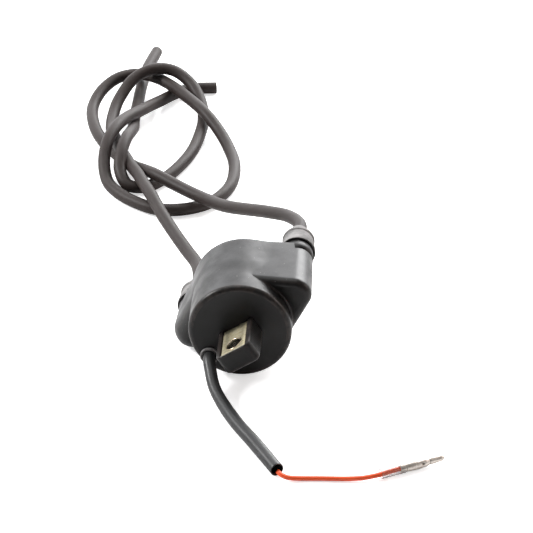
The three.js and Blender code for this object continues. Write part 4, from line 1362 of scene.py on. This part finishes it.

# %% [markdown]
# The punch has thrown up a thin burr round the bolt hole. It is a ring of half-round section on the
# top lamination, in a lighter copy of the steel that paints a highlight round the hole.

# %% Burr
BURR_RADIUS, BURR_SIZE = 0.00435, 0.0002
section = np.linspace(0, 2 * math.pi, 12, endpoint=False)[:, None]
around = np.linspace(0, 2 * math.pi, 96, endpoint=False)[None, :]
burr_radius = BURR_RADIUS + BURR_SIZE * np.cos(section)
burr_points = np.stack(
    [
        burr_radius * np.cos(around),
        -HOLE_Y + burr_radius * np.sin(around),
        CORE_HALF + BURR_SIZE * 0.6 * np.sin(section) + 0 * around,
    ],
    -1,
)
# the burr's lighter copy of the steel is a painted highlight round the bolt hole
piece("burr", [surface(placed(burr_points), wrap=True)], "core_steel", finish=HIGHLIGHT_STEEL)

# %% [markdown]
# ## Boots and the grommet
#
# The rubber pieces are turned. A boot flares a little to its mouth, so that a dark gap shows round
# the tower, then has a bead, a shoulder and a collar that grips the lead. The bore opens out at the
# collar's end, which leaves room for the lead's bend when the boot is slid back.

# %% Boots
BOOT_RADIUS = 0.0092
BOOT_MOUTH = TOWER_END - 0.0084
BOOT_END = BOOT_MOUTH + 0.0185
BOOT_SKIRT = 0.002
SHOULDER = BOOT_END - 0.006
WAIST = BOOT_RADIUS - 0.0015
COLLAR = 0.0053
COLLAR_BORE, COLLAR_MOUTH = 0.0038, 0.0046


def boot(side, sign):
    """A boot on one tower."""
    inside = TOWER_RADIUS + 0.0005
    roof = TOWER_END + 0.0006
    corners = [
        (BOOT_RADIUS - 0.0009, BOOT_MOUTH - BOOT_SKIRT),
        (BOOT_RADIUS, BOOT_MOUTH - BOOT_SKIRT),
        (BOOT_RADIUS - 0.0001, BOOT_MOUTH),
        (BOOT_RADIUS - 0.0005, BOOT_MOUTH + 0.0035),
        (WAIST + 0.0002, SHOULDER - 0.0038),
        (WAIST + 0.0007, SHOULDER - 0.0032),
        (WAIST + 0.0007, SHOULDER - 0.0018),
        (WAIST + 0.0002, SHOULDER - 0.0012),
        (WAIST - 0.0002, SHOULDER + 0.0002),
        (COLLAR + 0.0004, SHOULDER + 0.0012),
        (COLLAR - 0.0003, BOOT_END),
        (COLLAR_MOUTH, BOOT_END),
        (COLLAR_BORE + 0.0001, BOOT_END - 0.005),
        (COLLAR_BORE, roof + 0.0012),
        (inside - 0.0014, roof),
        (inside, roof - 0.0012),
        (BOOT_RADIUS - 0.0009, BOOT_MOUTH + 0.003),
    ]
    radii = [0.0002, 0.0003, 0.0015, 0.003, 0.0004, 0.0004, 0.0004, 0.0004, 0.0012, 0.0008, 0.0002]
    radii += [0.0002, 0.001, 0.0003, 0.0003, 0.0008, 0.001]
    rings = turned(corners, radii, columns=128, centre=(sign * SPACING, 0))
    piece(f"boot_{side}", [rings], "boot_rubber", f"ht_boot_{side}", body=f"boot_{side}")


boot("left", -1)
boot("right", 1)

# %% Grommet
from_axis = EXIT - AXIS
local_x = from_axis[0] * math.cos(ROLL) + from_axis[2] * math.sin(ROLL)
local_z = -from_axis[0] * math.sin(ROLL) + from_axis[2] * math.cos(ROLL)
GROMMET_RADIUS = 0.0042
grommet_corners = [
    (SLEEVE_RADIUS + 0.0003, FRONT - GROMMET_LIP),
    (GROMMET_RADIUS + 0.0005, FRONT - GROMMET_LIP),
    (GROMMET_RADIUS + 0.0005, FRONT - 0.0003),
    (GROMMET_RADIUS, FRONT - 0.0003),
    (GROMMET_RADIUS, FRONT + FRONT_WALL),
    (SLEEVE_RADIUS + 0.0003, FRONT + FRONT_WALL),
]
grommet_radii = [0.0003, 0.0006, 0.0002, 0, 0, 0]
grommet_rings = turned(grommet_corners, grommet_radii, columns=64, centre=(local_x, local_z))
piece("grommet", [grommet_rings], "boot_rubber", "primary_grommet")

# %% [markdown]
# ## What is inside
#
# The windings, bobbins, straps, terminals and seals are hidden in the case. Their CAD shapes are
# used as they are, with the finish of their slot in the record.

# %% Finishes on the CAD nodes
for row in frame["record"]["subparts"]:
    data = nodes[row["node"]].data
    data.materials.clear()
    data.materials.append(FINISHES[row["material_slot"]])
print("CAD nodes that show themselves:", sum(not n.hide_render for n in nodes.values()))

# %% [markdown]
# ## The studio
#
# A white table under a large soft light that stands behind and above, a little to the left, as for
# a catalogue picture. The room in front of the coil is dim, so the faces that look at the camera go
# nearly black, while everything that faces up mirrors the bright back of the room. The camera
# itself sees a plain pale background, and the table glows a little to the camera alone, so that the
# two meet without an edge.

# %% Table
TABLE_HALF = 6.0
table_mesh = bpy.data.meshes.new("table")
table_corners = [(-TABLE_HALF, -TABLE_HALF, 0), (TABLE_HALF, -TABLE_HALF, 0)]
table_corners += [(TABLE_HALF, TABLE_HALF, 0), (-TABLE_HALF, TABLE_HALF, 0)]
table_mesh.from_pydata(table_corners, [], [(0, 1, 2, 3)])
table = bpy.data.objects.new("table", table_mesh)
scene.collection.objects.link(table)
white, white_tree, white_shader, _ = new_finish("white table", Roughness=0.6)
white_shader.inputs["Base Color"].default_value = (0.9, 0.9, 0.9, 1)
white_shader.inputs["Emission Color"].default_value = (1, 1, 1, 1)
by_eye = node(white_tree, "ShaderNodeLightPath").outputs["Is Camera Ray"]
white_tree.links.new(maths(white_tree, "MULTIPLY", by_eye, 0.6), white_shader.inputs["Emission Strength"])
table_mesh.materials.append(white)
print("the table reaches", TABLE_HALF, "m each way")

# %% Lights and background
scene.view_settings.view_transform = "Standard"


def soft_light(name, place, target, size, power, color=(1, 1, 1)):
    """A square area light that faces a point."""
    data = bpy.data.lights.new(name, "AREA")
    data.size = size
    data.energy = power
    data.color = color
    made = bpy.data.objects.new(name, data)
    made.location = place
    made.rotation_mode = "QUATERNION"
    made.rotation_quaternion = (Vector(target) - Vector(place)).to_track_quat("-Z", "Y")
    scene.collection.objects.link(made)
    return made


soft_light("top", (-0.3, 0.3, 1.5), (0, 0.05, 0), 1.2, 12)
soft_light("back", (0.4, 0.95, 0.62), (0, 0, 0.03), 0.7, 12)
soft_light("left", (-1.2, 0.17, 0.82), (0, 0, 0.03), 0.3, 20)
soft_light("right", (1.2, 0.1, 0.6), (0, 0, 0.03), 0.6, 5, (1, 0.88, 0.83))

world = bpy.data.worlds.new("room")
scene.world = world
world.use_nodes = True
room = world.node_tree
room.nodes.clear()
direction = node(room, "ShaderNodeTexCoord").outputs["Generated"]
parts = node(room, "ShaderNodeSeparateXYZ", {0: direction}).outputs
facing_back = ramped(room, parts["Y"], 0.35, 1.0)
strength = between(room, facing_back, 0.04, 3.5)
light = node(room, "ShaderNodeBackground", {"Color": (0.97, 0.98, 1, 1), "Strength": strength})
seen = node(room, "ShaderNodeBackground", {"Color": (1, 1, 1, 1), "Strength": 1.0})
by_camera = node(room, "ShaderNodeLightPath").outputs["Is Camera Ray"]
mixed = node(room, "ShaderNodeMixShader", {0: by_camera, 1: light.outputs[0], 2: seen.outputs[0]})
node(room, "ShaderNodeOutputWorld", {0: mixed.outputs[0]})

# %% [markdown]
